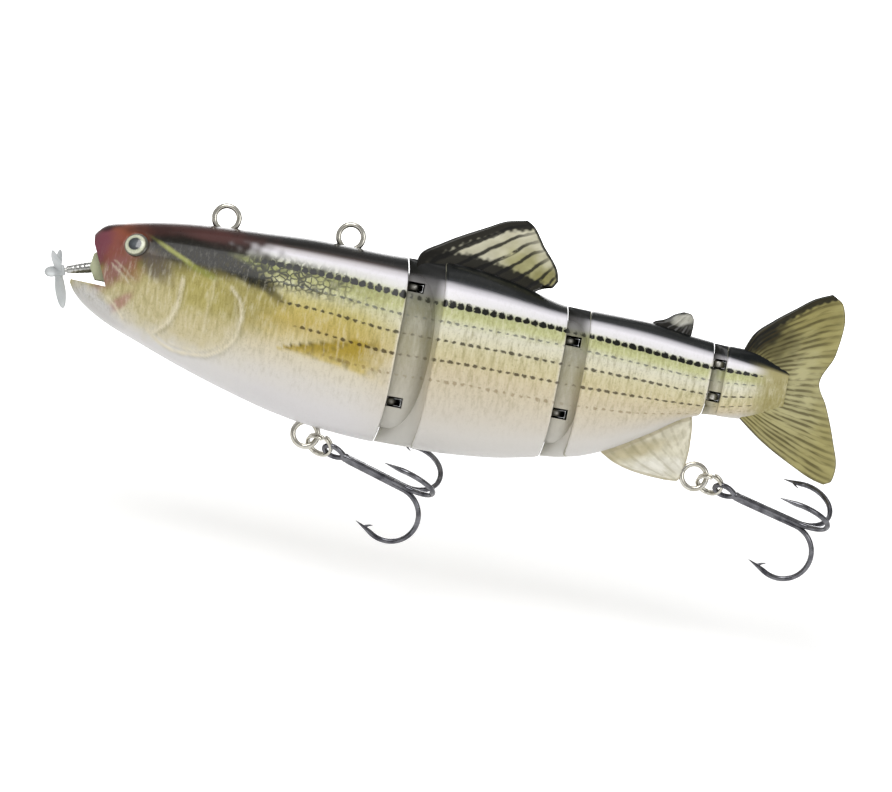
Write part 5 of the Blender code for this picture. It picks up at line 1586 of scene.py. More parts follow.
@dataclass(frozen=True)
class Fin:
    """A moulded fin as a patch between four curves, drawn along its rays.

    With u across the rays and v from the base to the rear edge, a point is
    (1 - v) base(u) + v trail(u) + (1 - u) lead(v) + u last(v), less the same blend of the four corners.

    Args:
        name: the piece's name.
        body: the body it rides on.
        lead: the front curve, from the base to the tip.
        base: the root, from front to rear.
        last: the rearmost ray, from the base out.
        trail: the rear edge, from the tip down.
        tint: sRGB hex of the film.
        film: its rays.
        sprays: patches of colour on it.
        edge_tint: sRGB hex of the printed edges.
        lead_edge: width in millimetres and strength of the printed front edge.
        trail_edge: the same for the rear edge.
        base_edge: the same for the root.
        ridge_count: number of moulded rays.
        edge_thick: half thickness at the rear edge.
    """

    name: str
    body: str
    lead: tuple[Pair, ...]
    base: tuple[Pair, ...]
    last: tuple[Pair, ...]
    trail: tuple[Pair, ...]
    tint: str
    film: FinFilm
    sprays: tuple[Spray, ...] = ()
    edge_tint: str = "191712"
    lead_edge: Pair = (1.2, 0.9)
    trail_edge: Pair = (0.3, 0.8)
    base_edge: Pair = (1.5, 0.6)
    ridge_count: float = 12.0
    root_thick: float = 0.86
    edge_thick: float = 0.2
    grid: tuple[int, int] = (150, 110)

    def build(self) -> bpy.types.Object:
        """Builds, paints and mounts the fin.

        Returns:
            The piece.
        """
        u = np.linspace(0, 1, self.grid[0])
        v = np.linspace(0, 1, self.grid[1])
        lead, last = along_points(self.lead, v)[None], along_points(self.last, v)[None]
        base, trail = along_points(self.base, u)[:, None], along_points(self.trail, u)[:, None]
        s, t = np.meshgrid(u, v, indexing="ij")
        a, b = s[..., None], t[..., None]
        flat = (1 - b) * base + b * trail + (1 - a) * lead + a * last
        flat -= (1 - a) * ((1 - b) * base[0, 0] + b * trail[0, 0]) + a * ((1 - b) * base[-1, 0] + b * trail[-1, 0])
        ends = self.distance(flat, lead), self.distance(flat, trail), self.distance(flat, last)
        thick = self.edge_thick + (self.root_thick - self.edge_thick) * (1 - smooth_step(0.0, 0.95, t))
        thick = thick + 0.03 * np.cos(2 * math.pi * self.ridge_count * s) * smooth_step(0.05, 0.3, t)
        room = np.minimum(np.minimum(ends[0], ends[1]), ends[2])
        thick = thick * np.sqrt(np.clip(1 - (1 - np.minimum(room / 0.55, 1)) ** 2, 0.01, 1))
        sheet = np.stack([flat[..., 0], thick, flat[..., 1]], axis=-1)
        shape = between(sheet * (1, -1, 1), sheet)
        paint = self.colours(flat, ends, t).reshape(*s.shape, 4)
        both = np.concatenate((paint, paint[:, ::-1]), axis=1).reshape(-1, 4)
        uv = np.stack([s, t], axis=-1)
        uv = np.concatenate((uv, uv[:, ::-1]), axis=1).reshape(-1, 2)
        piece = shape.piece(self.name)
        paint_piece(piece, {"paint": both, "uv": uv})
        piece.data.materials.append(self.film.material())
        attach(piece, self.body)
        return piece

    def distance(self, flat: Array, curve: Array) -> Array:
        """Distance in millimetres from each point to the nearest of a curve's points."""
        line = curve.reshape(-1, 2)
        return np.min(np.hypot(flat[..., 0, None] - line[:, 0], flat[..., 1, None] - line[:, 1]), axis=-1)

    def colours(self, flat: Array, ends: tuple[Array, Array, Array], t: Array) -> Array:
        """The film's colours, with the strength of the rays as alpha.

        Args:
            flat: (x, z) of each point.
            ends: distances to the front, rear and last edge.
            t: share of the way from the base.

        Returns:
            One colour for each point.
        """
        x, z = flat[..., 0].ravel(), flat[..., 1].ravel()
        colour = np.tile(linear(self.tint), (len(x), 1))
        for spray in self.sprays:
            colour = spray.over(colour, x, z)
        wander = 0.25 * breakup(2.0 * x, 2.0 * z)
        for (width, strength), reach in (
            (self.lead_edge, ends[0].ravel()),
            (self.trail_edge, np.minimum(ends[1], ends[2]).ravel()),
            (self.base_edge, z - BACK(x) if z.mean() > -14 else BELLY(x) - z),
        ):
            share = strength * (1 - smooth_step(0.75, 1.2, reach / width + wander * 0.5))
            colour = washed(colour, self.edge_tint, share)
        colour[:, 3] = np.interp(t.ravel(), (0.0, 0.8, 1.0), (1.0, 0.9, 0.35))
        return colour


DORSAL_FILM = FinFilm("dorsal_fin_film_dark_rays", rays=7.5, ray_tint="0f0e0b", ray_width=0.2, ray_strength=1.0,
                      broken=(0.25, 0.38))
TAIL_FILM = FinFilm("tail_fin_film_brown_rays", rays=30.0, ray_tint="3a3219", ray_width=0.34, ray_strength=0.75,
                    broken=(0.38, 0.55), streak=0.3)
SMALL_FILM = FinFilm("adipose_fin_film", rays=4.0, ray_tint="2a2923", ray_width=0.2, ray_strength=0.3)
ANAL_FILM = FinFilm("anal_fin_film_pale_rays", rays=9.0, ray_tint="9d9578", ray_width=0.2, ray_strength=0.4)

FINS = (
    Fin(
        "dorsal_fin", "mid",
        lead=((31.9, -2.4), (32.4, 0.2), (35.8, 2.9), (42.4, 6.7), (45.7, 8.4), (48.8, 9.1)),
        base=((31.9, -2.4), (36.0, -4.2), (49.0, -4.2), (51.6, -2.8), (53.4, -1.2)),
        last=((53.4, -1.2), (54.7, -1.2), (55.7, 0.1)),
        trail=((48.8, 9.1), (49.9, 8.5), (52.3, 5.5), (55.4, 1.4), (55.7, 0.1)),
        tint="d6d2ba", film=DORSAL_FILM,
        sprays=(Spray("a9a56f", (50.5, 0.8), (5.0, 3.0), -30.0, 0.85, 0.6),
                Spray("8f8a52", (54.0, 0.2), (2.0, 1.6), 0.0, 0.8, 0.6)),
        lead_edge=(1.7, 0.98), trail_edge=(0.42, 0.95), base_edge=(2.0, 0.97), ridge_count=7.5,
    ),
    Fin(
        "adipose_fin", "rear",
        lead=((71.4, -5.6), (72.4, -3.3), (74.2, -2.5), (75.7, -1.4), (77.0, -0.8)),
        base=((71.4, -5.6), (75.0, -6.4), (78.8, -6.2)),
        last=((78.8, -6.2), (79.0, -3.0), (78.9, -1.7)),
        trail=((77.0, -0.8), (78.2, -0.9), (78.9, -1.7)),
        tint="3b3a34", film=SMALL_FILM,
        sprays=(Spray("c9c8bd", (77.2, -2.0), (1.8, 0.9), 20.0, 0.9, 0.4),),
        lead_edge=(0.35, 0.7), trail_edge=(0.2, 0.3), base_edge=(0.8, 0.9), ridge_count=5.0, grid=(70, 60),
    ),
    Fin(
        "anal_fin", "rear",
        lead=((66.6, -25.2), (68.4, -26.4), (70.4, -27.4), (73.5, -28.2), (76.4, -28.5), (79.1, -28.6)),
        base=((66.6, -25.2), (70.0, -22.6), (76.0, -19.0), (81.4, -16.6)),
        last=((81.4, -16.6), (82.0, -19.6), (82.2, -23.0)),
        trail=((79.1, -28.6), (81.1, -28.4), (82.0, -25.8), (82.2, -23.0)),
        tint="ded9c4", film=ANAL_FILM,
        sprays=(Spray("e9e6da", (78.0, -26.6), (5.0, 1.6), 10.0, 0.9, 0.5),
                Spray("b9ad84", (73.0, -25.0), (5.5, 1.2), 25.0, 0.7, 0.6)),
        edge_tint="b8ac8a", lead_edge=(0.4, 0.5), trail_edge=(0.3, 0.5), base_edge=(0.6, 0.6), edge_thick=0.5,
    ),
    Fin(
        "tail_fin", "tail",
        lead=((87.4, -6.4), (89.0, -2.2), (92.0, 0.8), (95.0, 3.2), (98.0, 5.5), (100.6, 6.7)),
        base=((87.4, -6.4), (90.0, -8.6), (91.0, -11.0), (90.2, -13.2), (88.0, -15.4)),
        last=((88.0, -15.4), (94.0, -19.6), (99.0, -22.2), (103.2, -24.0), (105.0, -24.4)),
        trail=((100.6, 6.7), (102.6, 5.4), (103.5, 2.0), (103.0, -3.0), (101.2, -8.0), (103.0, -11.6),
               (105.2, -17.0), (106.5, -21.5), (106.2, -23.6), (105.0, -24.4)),
        tint="a79f69", film=TAIL_FILM,
        sprays=(Spray("8f8750", (97.0, 1.0), (7.0, 4.0), 35.0, 0.6, 0.7),
                Spray("b9b48a", (97.5, -11.0), (4.5, 8.0), 0.0, 0.8, 0.7),
                Spray("55502f", (92.5, -3.5), (4.0, 3.4), 30.0, 0.8, 0.6),
                Spray("14140f", (90.5, -2.6), (4.4, 1.5), 42.0, 0.95, 0.5),
                Spray("a8a06c", (98.0, -19.5), (8.0, 4.0), -25.0, 0.6, 0.7)),
        edge_tint="15150f", lead_edge=(1.25, 0.95), trail_edge=(0.2, 0.35), base_edge=(0.3, 0.0),
        ridge_count=24.0, grid=(210, 150),
    ),
)


# Wire parts


NODE_WIRE = 0.47  # radius of the wire in the frame


@dataclass(frozen=True)
class WireLoop:
    """A closed loop of wire with its two ends twisted into a shank.

    Args:
        node: the node it stands for.
        body: the body it rides on.
        centre: (x, z) of the loop.
        angle: degrees of the shank above +X.
        twist: radius at which the two ends wind round each other, or 0 for a single straight end.
    """

    node: str
    body: str
    centre: Pair
    angle: float
    twist: float = 0.36
    wire: float = 0.46
    radius: float = 2.05
    shank: float = 3.4
    lay: float = 1.9

    def shape(self) -> Shape:
        """The loop and shank. A twisted end is the helix r cos a, r sin a with a growing evenly along the shank.

        Returns:
            The shape in its place.
        """
        turn = np.linspace(0, 2 * math.pi, 72, endpoint=False)
        ring = np.stack([np.cos(turn), np.zeros_like(turn), np.sin(turn)], axis=-1) * self.radius
        whole = swept(ring, self.wire, np.array([0.0, 1.0, 0.0]), closed=True, sides=18)
        share = np.linspace(0, 1, 60)
        along = self.radius - 0.25 + share * (self.shank - 0.1)
        ends = (0.0, math.pi) if self.twist else (0.0,)
        for start in ends:
            phase = 2 * math.pi * (along - along[0]) / self.lay * 0.5 + start + math.pi / 2
            size = self.twist * smooth_step(-0.3, 0.2, share)
            path = np.stack([along, size * np.cos(phase), size * np.sin(phase)], axis=-1)
            whole = whole + swept(path, self.wire if not self.twist else self.wire * 0.93, np.array([0.0, 1.0, 0.02]),
                                  sides=14)
        turn_down = Matrix.Rotation(-math.radians(self.angle), 4, "Y")
        return whole.moved(Matrix.Translation((self.centre[0], 0, self.centre[1])) @ turn_down)

    def build(self) -> bpy.types.Object:
        """Builds, dresses and mounts the loop.

        Returns:
            The piece.
        """
        piece = self.shape().piece(f"{self.node}_wire")
        BRIGHT_NICKEL.dress(piece, "steel")
        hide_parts(self.node)
        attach(piece, self.body)
        return piece


def wire_loops() -> tuple[WireLoop, ...]:
    """The two line ties and both hangers, placed from the boxes of their nodes.

    Returns:
        The four loops.
    """
    reach = WireLoop.radius + NODE_WIRE
    made = []
    for node in ("line_tie_front", "line_tie_rear"):
        low, high = node_box(node)
        made.append(WireLoop(node, "head", ((low[0] + high[0]) / 2, high[2] - reach), -90.0))
    low, high = node_box("belly_hanger")
    made.append(WireLoop("belly_hanger", "head", ((low[0] + high[0]) / 2, low[2] + reach), 90.0))
    low, high = node_box("rear_hanger")
    place = high[0] - reach, low[2] + reach
    made.append(WireLoop("rear_hanger", "rear", place, 165.0, twist=0.0, wire=0.44, shank=2.2))
    return tuple(made)


@dataclass(frozen=True)
class HookChain:
    """A split ring and the treble that hangs from it.

    Args:
        name: "belly" or "rear".
        ring_angle: degrees of the ring's hang above +X.
        hook_angle: the same for the treble.
        roll: degrees that the treble turns about its shank.
    """

    name: str
    ring_angle: float
    hook_angle: float
    roll: float
    ring_wire: float = 0.25
    ring_radius: float = 2.1
    ring_pitch: float = 0.56
    ring_roll: float = 40.0
    wire: float = 0.44
    eye_long: float = 1.75
    eye_wide: float = 1.35
    eye_roll: float = 38.0
    length: float = 20.2
    bend: float = 4.7
    throat: float = 4.0
    core: float = 0.83
    reach: float = 0.38

    def frame_at(self, place: Array, angle: float, roll: float = 0.0) -> Matrix:
        """A frame whose +X runs down the chain."""
        turn = Matrix.Rotation(-math.radians(angle), 4, "Y") @ Matrix.Rotation(math.radians(roll), 4, "X")
        return Matrix.Translation(place.tolist()) @ turn

    def ring(self) -> Shape:
        """Two flattened turns of spring wire: the helix r cos a, p (2 s - 1), r sin a, with a from 0 to two turns.
        Its ends are drawn to blunt tips.

        Returns:
            The shape in its place.
        """
        share = np.linspace(0, 1, 220)
        turn = 4 * math.pi * share + math.pi / 2
        path = np.stack([
            self.ring_radius * np.cos(turn), self.ring_pitch * (2 * share - 1), self.ring_radius * np.sin(turn),
        ], axis=-1)
        ends = np.minimum(share, 1 - share) * 220
        radii = self.ring_wire * np.sqrt(np.clip(1 - (1 - np.minimum(ends / 3, 1)) ** 2, 0.06, 1))
        low, high = node_box(f"{self.name}_split_ring")
        shape = swept(path, radii, np.array([0.0, 1.0, 0.0]), sides=14)
        return shape.moved(self.frame_at((low + high) / 2, self.ring_angle, 90.0 - self.ring_roll))

    def hook(self) -> Shape:
        """One of the three hooks, in its own X-Z plane: a shank that meets the others at the core, a round bend
        through 200 degrees, a point that curves in and tapers to a needle, and a barb sliced up from its inside.

        Returns:
            The shape in its own frame.
        """
        bend_x = self.length - self.bend - self.wire
        offset = self.core - self.wire
        shank = np.linspace(self.eye_long * 2.0, bend_x, 60)
        merge = 0.35 * (1 - smooth_step(self.eye_long * 2.0, self.eye_long * 2.0 + 2.0, shank))
        line = [np.stack([shank, np.zeros_like(shank), -offset * (1 - merge)], axis=-1)]
        turn = np.radians(np.linspace(-90, 108, 80))[1:]
        line.append(np.stack([
            bend_x + self.bend * np.cos(turn), np.zeros_like(turn), -offset - self.bend * (1 + np.sin(turn)),
        ], axis=-1))
        last = line[-1][-1]
        way = line[-1][-1] - line[-1][-2]
        way /= np.linalg.norm(way)
        tip = np.array([bend_x - self.throat - 0.6, 0.0, last[2] + 0.75])
        s = np.linspace(0, 1, 46)[1:, None]
        span = np.linalg.norm(tip - last)
        guide = last + way * span * 0.5
        line.append((1 - s) ** 2 * last + 2 * s * (1 - s) * guide + s**2 * tip)
        path = np.concatenate(line)
        radii = np.full(len(path), self.wire)
        taper = np.linspace(0, 1, 45)
        radii[-45:] = self.wire * (1 - taper**1.25 * 0.93)
        shape = swept(path, radii, np.array([0.0, 1.0, 0.0]), sides=16)
        root = path[-26] + (0.0, 0.0, 0.12)
        end = root + (1.15, 0.0, 0.85)
        s = np.linspace(0, 1, 14)[:, None]
        barb = root + s * (end - root) + np.array([0.0, 0.0, 0.1]) * np.sin(math.pi * s)
        return shape + swept(barb, 0.27 * (1 - 0.85 * s[:, 0]), np.array([0.0, 1.0, 0.0]), sides=10, flat=0.7)

    def treble(self) -> Shape:
        """Three hooks brazed round one shank under a closed eye. The eye is an oval drawn in to a neck:
        x = -a cos t, y = b sin t (1 - 0.3 (1 - cos t) / 2).

        Returns:
            The shape in its place.
        """
        turn = np.linspace(0, 2 * math.pi, 72, endpoint=False)
        narrow = 1 - 0.42 * ((1 - np.cos(turn)) / 2) ** 2
        eye = np.stack([
            self.wire + self.eye_long * (1 - np.cos(turn)), self.eye_wide * np.sin(turn) * narrow, 0 * turn,
        ], axis=-1)
        roll = -math.radians(self.eye_roll)
        whole = swept(eye, self.wire, np.array([0.0, 0.0, 1.0]), closed=True, sides=16)
        whole = whole.moved(Matrix.Rotation(roll, 4, "X"))
        start = self.wire + 2 * self.eye_long - 0.35
        end = self.length - self.bend - self.wire - 1.0
        share = np.linspace(0, 1, 50)
        core = np.stack([start + share * (end - start), 0 * share, 0 * share], axis=-1)
        size = np.interp(share, (0, 0.06, 0.12, 0.9, 1.0), (0.5, 0.78, 0.62, 0.55, 0.3))
        whole = whole + swept(core, size, np.array([0.0, 0.0, 1.0]), sides=18)
        hook = self.hook()
        for k in range(3):
            spin = math.radians(self.roll + 120 * k)
            whole = whole + hook.moved(Matrix.Rotation(spin, 4, "X"))
        far_wire = joint_place(f"{self.name}_hook_swing")
        angle = math.radians(self.hook_angle)
        way = np.array([math.cos(angle), 0.0, math.sin(angle)])
        front = far_wire - way * (self.ring_wire + self.reach + 2 * 0.45)
        return whole.moved(self.frame_at(front, self.hook_angle))

    def build(self) -> list[bpy.types.Object]:
        """Builds, dresses and mounts the ring and the treble.

        Returns:
            The pieces.
        """
        ring = self.ring().piece(f"{self.name}_split_ring_coil")
        BRIGHT_NICKEL.dress(ring, "steel")
        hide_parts(f"{self.name}_split_ring")
        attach(ring, f"{self.name}_ring")
        treble = self.treble().piece(f"{self.name}_treble_forged")
        BLACK_NICKEL.dress(treble, "hook_nickel")
        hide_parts(f"{self.name}_treble")
        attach(treble, f"{self.name}_hook")
        return [ring, treble]


@dataclass(frozen=True)
class HingeHardware:
    """The two plate eyes of a hinge and the pin through them."""

    hinge: Hinge
    eye_body: str
    pin_body: str
    pin_radius: float = 0.5
    pin_room: float = 0.12
    stem: float = 1.6
    edge_round: float = 0.16

    def eye(self, level: str) -> Shape:
        """A plate eye: a rounded disc with a bore, on a stem back into its section.

        Args:
            level: "upper" or "lower".

        Returns:
            The shape in its place.
        """
        low, high = node_box(f"{self.hinge.name}_hinge_eye_{level}")
        middle = (low[2] + high[2]) / 2
        half = (high[2] - low[2]) / 2
        turn = np.linspace(-math.pi / 2, math.pi / 2, 9)
        size = self.hinge.plate - self.edge_round
        bore = self.pin_radius + self.pin_room
        outside = [(size + self.edge_round * math.cos(a), (half - self.edge_round) * np.sign(a) +
                    self.edge_round * math.sin(a)) for a in turn]
        inside = [(bore + 0.1, half), (bore, half - 0.1), (bore, 0.1 - half), (bore + 0.1, -half)]
        disc = turned(outside + inside, closed=True)
        disc = disc.moved(Matrix.Translation((self.hinge.x, 0, middle)))
        stem = block((low[0], -self.stem / 2, low[2] + 0.02),
                     (self.hinge.x - bore - 0.2, self.stem / 2, high[2] - 0.02))
        return disc + stem

    def build(self) -> list[bpy.types.Object]:
        """Builds, dresses and mounts both eyes and the pin.

        Returns:
            The pieces.
        """
        name = self.hinge.name
        pieces = []
        for level in ("upper", "lower"):
            piece = self.eye(level).piece(f"{name}_hinge_eye_{level}_plate")
            PRESSED_STEEL.dress(piece, "steel")
            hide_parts(f"{name}_hinge_eye_{level}")
            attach(piece, self.eye_body)
            pieces.append(piece)
        low, high = node_box(f"{name}_hinge_pin")
        tip = 0.15
        profile = ((self.pin_radius - tip, low[2]), (self.pin_radius, low[2] + tip), (self.pin_radius, high[2] - tip),
                   (self.pin_radius - tip, high[2]))
        pin = turned(profile, 40).moved(Matrix.Translation((self.hinge.x, 0, 0))).piece(f"{name}_hinge_pin_rod")
        GROUND_STEEL.dress(pin, "steel")
        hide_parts(f"{name}_hinge_pin")
        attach(pin, self.pin_body)
        return [*pieces, pin]


# Drive


@dataclass(frozen=True)
class Drive:
    """The shaft tube, the propeller and the bulkhead that carries them.

    Distances run forward along the shaft from the face of the bulkhead.
    """

    tilt: float = 17.0
    nose: Pair = (-20.4, -12.2)
    tube_length: float = 4.1
    tube_seated: float = 2.4
    tube_root: float = 0.9
    tube_tip: float = 0.62
    bore: float = 0.47
    gap: float = 0.3
    hub_radius: float = 0.9
    hub_length: float = 2.2
    spinner: float = 1.2
    radius: float = 6.25
    blades: int = 3
    bulkhead: tuple[Pair, ...] = (
        (-20.3, -9.9), (-20.6, -12.2), (-19.4, -14.2), (-15.6, -14.2), (-15.6, -8.6), (-18.6, -8.6),
    )
    bulkhead_half: float = 2.4

    def placed(self) -> Matrix:
        """The shaft's frame: +Z runs forward down the shaft.

        Returns:
            The frame, in millimetres.
        """
        angle = math.radians(self.tilt)
        forward = Vector((-math.cos(angle), 0, -math.sin(angle)))
        turn = Vector((0, 0, 1)).rotation_difference(forward).to_matrix().to_4x4()
        return Matrix.Translation((self.nose[0], 0, self.nose[1])) @ turn

    def blade(self) -> Shape:
        """One blade along +X.

        At share s of the radius, the chord is a petal c(s), swept back by 0.5 s^2, turned by a pitch that falls
        from 52 to 28 degrees; its section is a lens, t (1 - a^2), cambered by 0.12 (1 - a^2).

        Returns:
            A closed shape.
        """
        s = np.linspace(0, 1, 44)[:, None]
        turn = np.linspace(0, 2 * math.pi, 36, endpoint=False)[None, :]
        radius = self.hub_radius * 0.6 + s * (self.radius - self.hub_radius * 0.6)
        petal = np.interp(s, (0, 0.12, 0.3, 0.5, 0.7, 0.85, 0.93, 0.98, 1.0),
                          (0.6, 0.66, 0.86, 1, 0.97, 0.8, 0.6, 0.36, 0.1))
        across = np.cos(turn) * petal * 1.28
        thick = 0.25 * (1 - 0.55 * s) * np.sin(turn) * np.sqrt(petal)
        rise = thick + 0.1 * (petal**2 - across**2 / 1.28**2)
        across = across - 0.2 * s**2
        pitch = np.radians(52 - 24 * s)
        points = np.stack([
            np.broadcast_to(radius, across.shape) + 0 * turn,
            across * np.cos(pitch) - rise * np.sin(pitch),
            across * np.sin(pitch) + rise * np.cos(pitch),
        ], axis=-1)
        count = points.shape[1]
        faces = quads(len(s), count, wrap_columns=True).tolist()
        faces += caps(count, len(s) * count)
        return Shape(points.reshape(-1, 3), faces).turned_out()

    def propeller(self) -> Shape:
        """A hub with a round nose and a small collar, and its blades, one of them pointing down.

        Returns:
            The shape in its place.
        """
        base = self.tube_length + self.gap
        shoulder = base + self.hub_length
        turn = np.linspace(0, math.pi / 2, 16)
        nose = list(zip(self.hub_radius * np.sin(turn), shoulder + self.spinner * np.cos(turn)))
        depth = base + self.hub_length * 0.8
        bore = self.bore
        edge = [(self.hub_radius, base + 0.15), (self.hub_radius - 0.15, base), (bore, base), (bore, depth),
                (0.0, depth)]
        whole = turned(nose + edge, 48)
        blade = self.blade().moved(Matrix.Translation((0, 0, base + self.hub_length / 2)))
        for k in range(self.blades):
            whole = whole + blade.moved(Matrix.Rotation(2 * math.pi * (k + 0.5) / self.blades, 4, "Z"))
        return whole.moved(self.placed())

    def tube(self) -> Shape:
        """The tapered tube, with a rounded lip and two turned rings.

        Returns:
            The shape in its place.
        """
        size = Outline(((-self.tube_seated, self.tube_root), (0.3, self.tube_root), (self.tube_length, self.tube_tip)))
        along = np.linspace(-self.tube_seated, self.tube_length - 0.1, 60)
        ring = 0.05 * sum(np.exp(-(((along - at) / 0.12) ** 2)) for at in (1.2, 2.0, 2.8))
        profile = list(zip(size(along) - ring, along))
        profile += [(self.tube_tip - 0.1, self.tube_length), (self.bore, self.tube_length),
                    (self.bore, -self.tube_seated)]
        return turned(profile, 48, closed=True).moved(self.placed())

    def insert(self) -> Shape:
        """The bulkhead: a plate with rounded sides, bored for the tube.

        Returns:
            The shape in its place.
        """
        outline = np.array(self.bulkhead)
        sheets = []
        for y, shrink in ((-1.0, 0.96), (-0.9, 1.0), (0.9, 1.0), (1.0, 0.96)):
            middle = outline.mean(axis=0)
            spots = middle + (outline - middle) * shrink
            sheets.append(np.stack([spots[:, 0], np.full(len(spots), y * self.bulkhead_half), spots[:, 1]], axis=-1))
        count = len(outline)
        faces = quads(len(sheets), count, wrap_columns=True).tolist() + caps(count, len(sheets) * count)
        body = Shape(np.concatenate(sheets), faces).turned_out()
        seat = turned(((1.02, 3.0), (1.02, -self.tube_seated - 0.12)), 48).moved(self.placed())
        bore = turned(((self.bore, 3.0), (self.bore, -12.0)), 32).moved(self.placed())
        return cut(body, seat, bore)

    def build(self) -> list[bpy.types.Object]:
        """Builds, dresses and mounts the bulkhead, the tube and the propeller.

        Returns:
            The pieces.
        """
        made = []
        for shape, name, node, body, finish, slot in (
            (self.insert(), "mouth_bulkhead", "mouth_insert", "head", BULKHEAD_ABS, "insert_plastic"),
            (self.tube(), "shaft_tube_turned", "shaft_tube", "head", GROUND_STEEL, "steel"),
            (self.propeller(), "propeller_moulded", "propeller", "propeller_shaft", FROSTED_ABS, "frosted_plastic"),
        ):
            piece = shape.piece(name)
            finish.dress(piece, slot)
            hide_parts(node)
            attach(piece, body)
            made.append(piece)
        return made


# The studio


@dataclass(frozen=True)
class SoftBox:
    """A square area light, in millimetres and watts."""

    name: str
    place: tuple[float, float, float]
    size: float
    watts: float


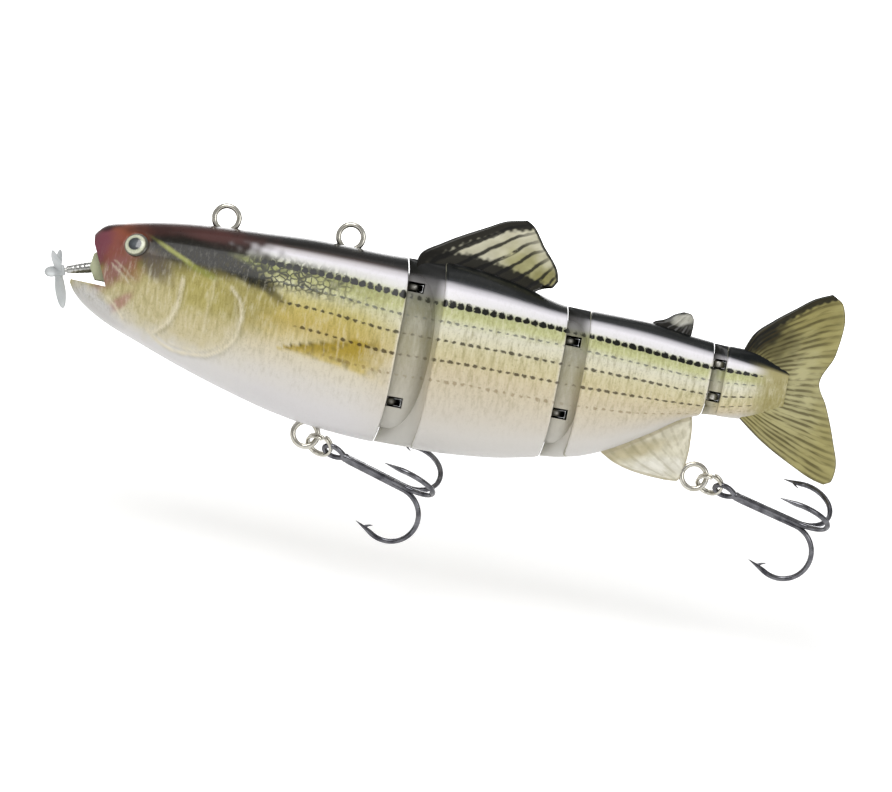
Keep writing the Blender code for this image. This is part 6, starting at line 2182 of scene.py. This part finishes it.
@dataclass(frozen=True)
class Studio:
    """A white sweep, soft boxes, and a long lens on the lure's left side, rolled as the lure lies in its picture."""

    aim: tuple[float, float, float] = (41.1, 0.0, -21.9)
    across: float = 147.2
    roll: float = 11.0
    lens: float = 300.0
    sensor: float = 36.0
    boxes: tuple[SoftBox, ...] = (
        SoftBox("key", (-60.0, -330.0, 300.0), 240.0, 0.85),
        SoftBox("fill", (330.0, -330.0, 40.0), 240.0, 0.35),
        SoftBox("far", (0.0, 420.0, 150.0), 300.0, 1.0),
        SoftBox("top", (50.0, -20.0, 420.0), 260.0, 0.14),
    )

    def camera(self) -> None:
        """A level camera that looks along +Y with its frame rolled."""
        turn = math.radians(self.roll)
        right = Vector((math.cos(turn), 0, math.sin(turn)))
        up = Vector((-math.sin(turn), 0, math.cos(turn)))
        back = Vector((0, -1, 0))
        made = bpy.data.objects.new("camera", bpy.data.cameras.new("camera"))
        made.data.lens = self.lens
        made.data.sensor_width = self.sensor
        made.data.clip_start = 0.01
        made.data.clip_end = 20.0
        far = self.across * self.lens / self.sensor
        turned_to = Matrix((right, up, back)).transposed().to_4x4()
        made.matrix_world = Matrix.Translation((Vector(self.aim) + back * far) * MM) @ turned_to
        bpy.context.scene.collection.objects.link(made)
        bpy.context.scene.camera = made

    def lights(self) -> None:
        """The soft boxes, all turned to the lure, and a plain white surround that is dimmer as a light."""
        for box in self.boxes:
            light = bpy.data.lights.new(box.name, "AREA")
            light.size = box.size * MM
            light.energy = box.watts
            made = bpy.data.objects.new(box.name, light)
            place = Vector(box.place)
            made.matrix_world = Matrix.Translation(place * MM) @ (
                (place - Vector(self.aim)).to_track_quat("Z", "Y").to_matrix().to_4x4()
            )
            bpy.context.scene.collection.objects.link(made)
        world = bpy.data.worlds.new("white_studio")
        world.use_nodes = True
        bpy.context.scene.world = world
        tree = world.node_tree
        seen = add(tree, "ShaderNodeLightPath")
        strength = add(tree, "ShaderNodeMapRange", {0: seen, 1: 0.0, 2: 1.0, 3: 0.44, 4: 1.0})
        ground = tree.nodes["Background"]
        ground.inputs["Color"].default_value = linear("fdfdfd")
        tree.links.new(strength, ground.inputs["Strength"])

    def floor(self) -> None:
        """A white sheet that rises gently away from the camera. It glows as painted light, dim under the lure and
        brighter farther off.
        """
        rise = math.radians(14.0)
        half = 2600.0
        step = Vector((0, math.cos(rise), math.sin(rise))) * half
        low = Vector(self.aim[:1] + (0.0, -59.5))
        corners = [low + Vector((x, 0, 0)) + sign * step
                   for x, sign in ((-half, -1), (half, -1), (half, 1), (-half, 1))]
        mesh = bpy.data.meshes.new("floor")
        mesh.from_pydata([tuple(corner * MM) for corner in corners], [], [(0, 1, 2, 3)])
        made = bpy.data.objects.new("floor", mesh)
        bpy.context.scene.collection.objects.link(made)
        paper, tree, shader = new_material("white_sweep_paper", Roughness=0.9, Specular_IOR_Level=0.1)
        place = add(tree, "ShaderNodeTexCoord", out=OBJECT_PLACE)
        fibre = add(tree, "ShaderNodeTexNoise", {"Vector": place, "Scale": 1 / (2.0 * MM), "Detail": 3.0})
        tone = add(tree, "ShaderNodeMix", {0: fibre, 6: linear("ffffff"), 7: linear("fafafa")}, out=2, data_type="RGBA")
        # Painted light: seen from the camera the floor glows at 0.25 within 80 mm of the lure, rising to 1.1 by 320 mm;
        # to every other ray it glows at 0.16 and lights the lure from below.
        under = (self.aim[0] * MM, 0.0, self.aim[2] * MM)
        away = add(tree, "ShaderNodeVectorMath", {0: place, 1: under}, out=1, operation="DISTANCE")
        depth = add(tree, "ShaderNodeMapRange", {0: away, 1: 0.08, 2: 0.32, 3: 0.25, 4: 1.1})
        seen = add(tree, "ShaderNodeLightPath")
        glow = add(tree, "ShaderNodeMapRange", {0: seen, 3: 0.16, 4: depth})
        dress_shader(tree, shader, Base_Color=tone, Emission_Color=tone, Emission_Strength=glow)
        mesh.materials.append(paper)

    def build(self) -> None:
        """Sets up the picture."""
        self.camera()
        self.lights()
        self.floor()
        view = bpy.context.scene.view_settings
        view.view_transform = "Standard"
        view.look = "None"


def main() -> None:
    """Builds every piece, then the studio."""
    logging.basicConfig(level=logging.INFO, format="%(message)s")
    pieces: list[bpy.types.Object] = []
    head = Head("head", -23.4, 31.7, rear=FRONT_HINGE, hollow_start=-15.0,
                hollow_end=FRONT_HINGE.x - FRONT_HINGE.socket()[0] - WALL)
    sections = [head]
    for body, front, rear in (("mid", FRONT_HINGE, MIDDLE_HINGE), ("rear", MIDDLE_HINGE, TAIL_HINGE)):
        sections.append(Section(
            body, front.shoulder, rear.edge, front, rear, hollow_start=front.shoulder + 2.2,
            hollow_end=rear.x - rear.socket()[0] - WALL,
        ))
    sections.append(Section("tail", TAIL_HINGE.shoulder, 96.0, TAIL_HINGE))
    for section in sections:
        pieces += section.build()
    pieces += head.build_eyes()
    for fin in FINS:
        pieces.append(fin.build())
    for loop in wire_loops():
        pieces.append(loop.build())
    for chain in (HookChain("belly", -26.0, -16.0, 15.0), HookChain("rear", -16.0, -13.5, 12.0)):
        pieces += chain.build()
    for hardware in (
        HingeHardware(FRONT_HINGE, "head", "mid"),
        HingeHardware(MIDDLE_HINGE, "mid", "rear"),
        HingeHardware(TAIL_HINGE, "rear", "tail"),
    ):
        pieces += hardware.build()
    pieces += Drive().build()
    for hidden in HIDDEN_PARTS:
        hidden.finish.dress(bpy.data.objects[hidden.node], hidden.slot)
    for piece in pieces:
        log.info("%s: %d faces", piece.name, len(piece.data.polygons))
    Studio().build()


if __name__ == "__main__":
    main()
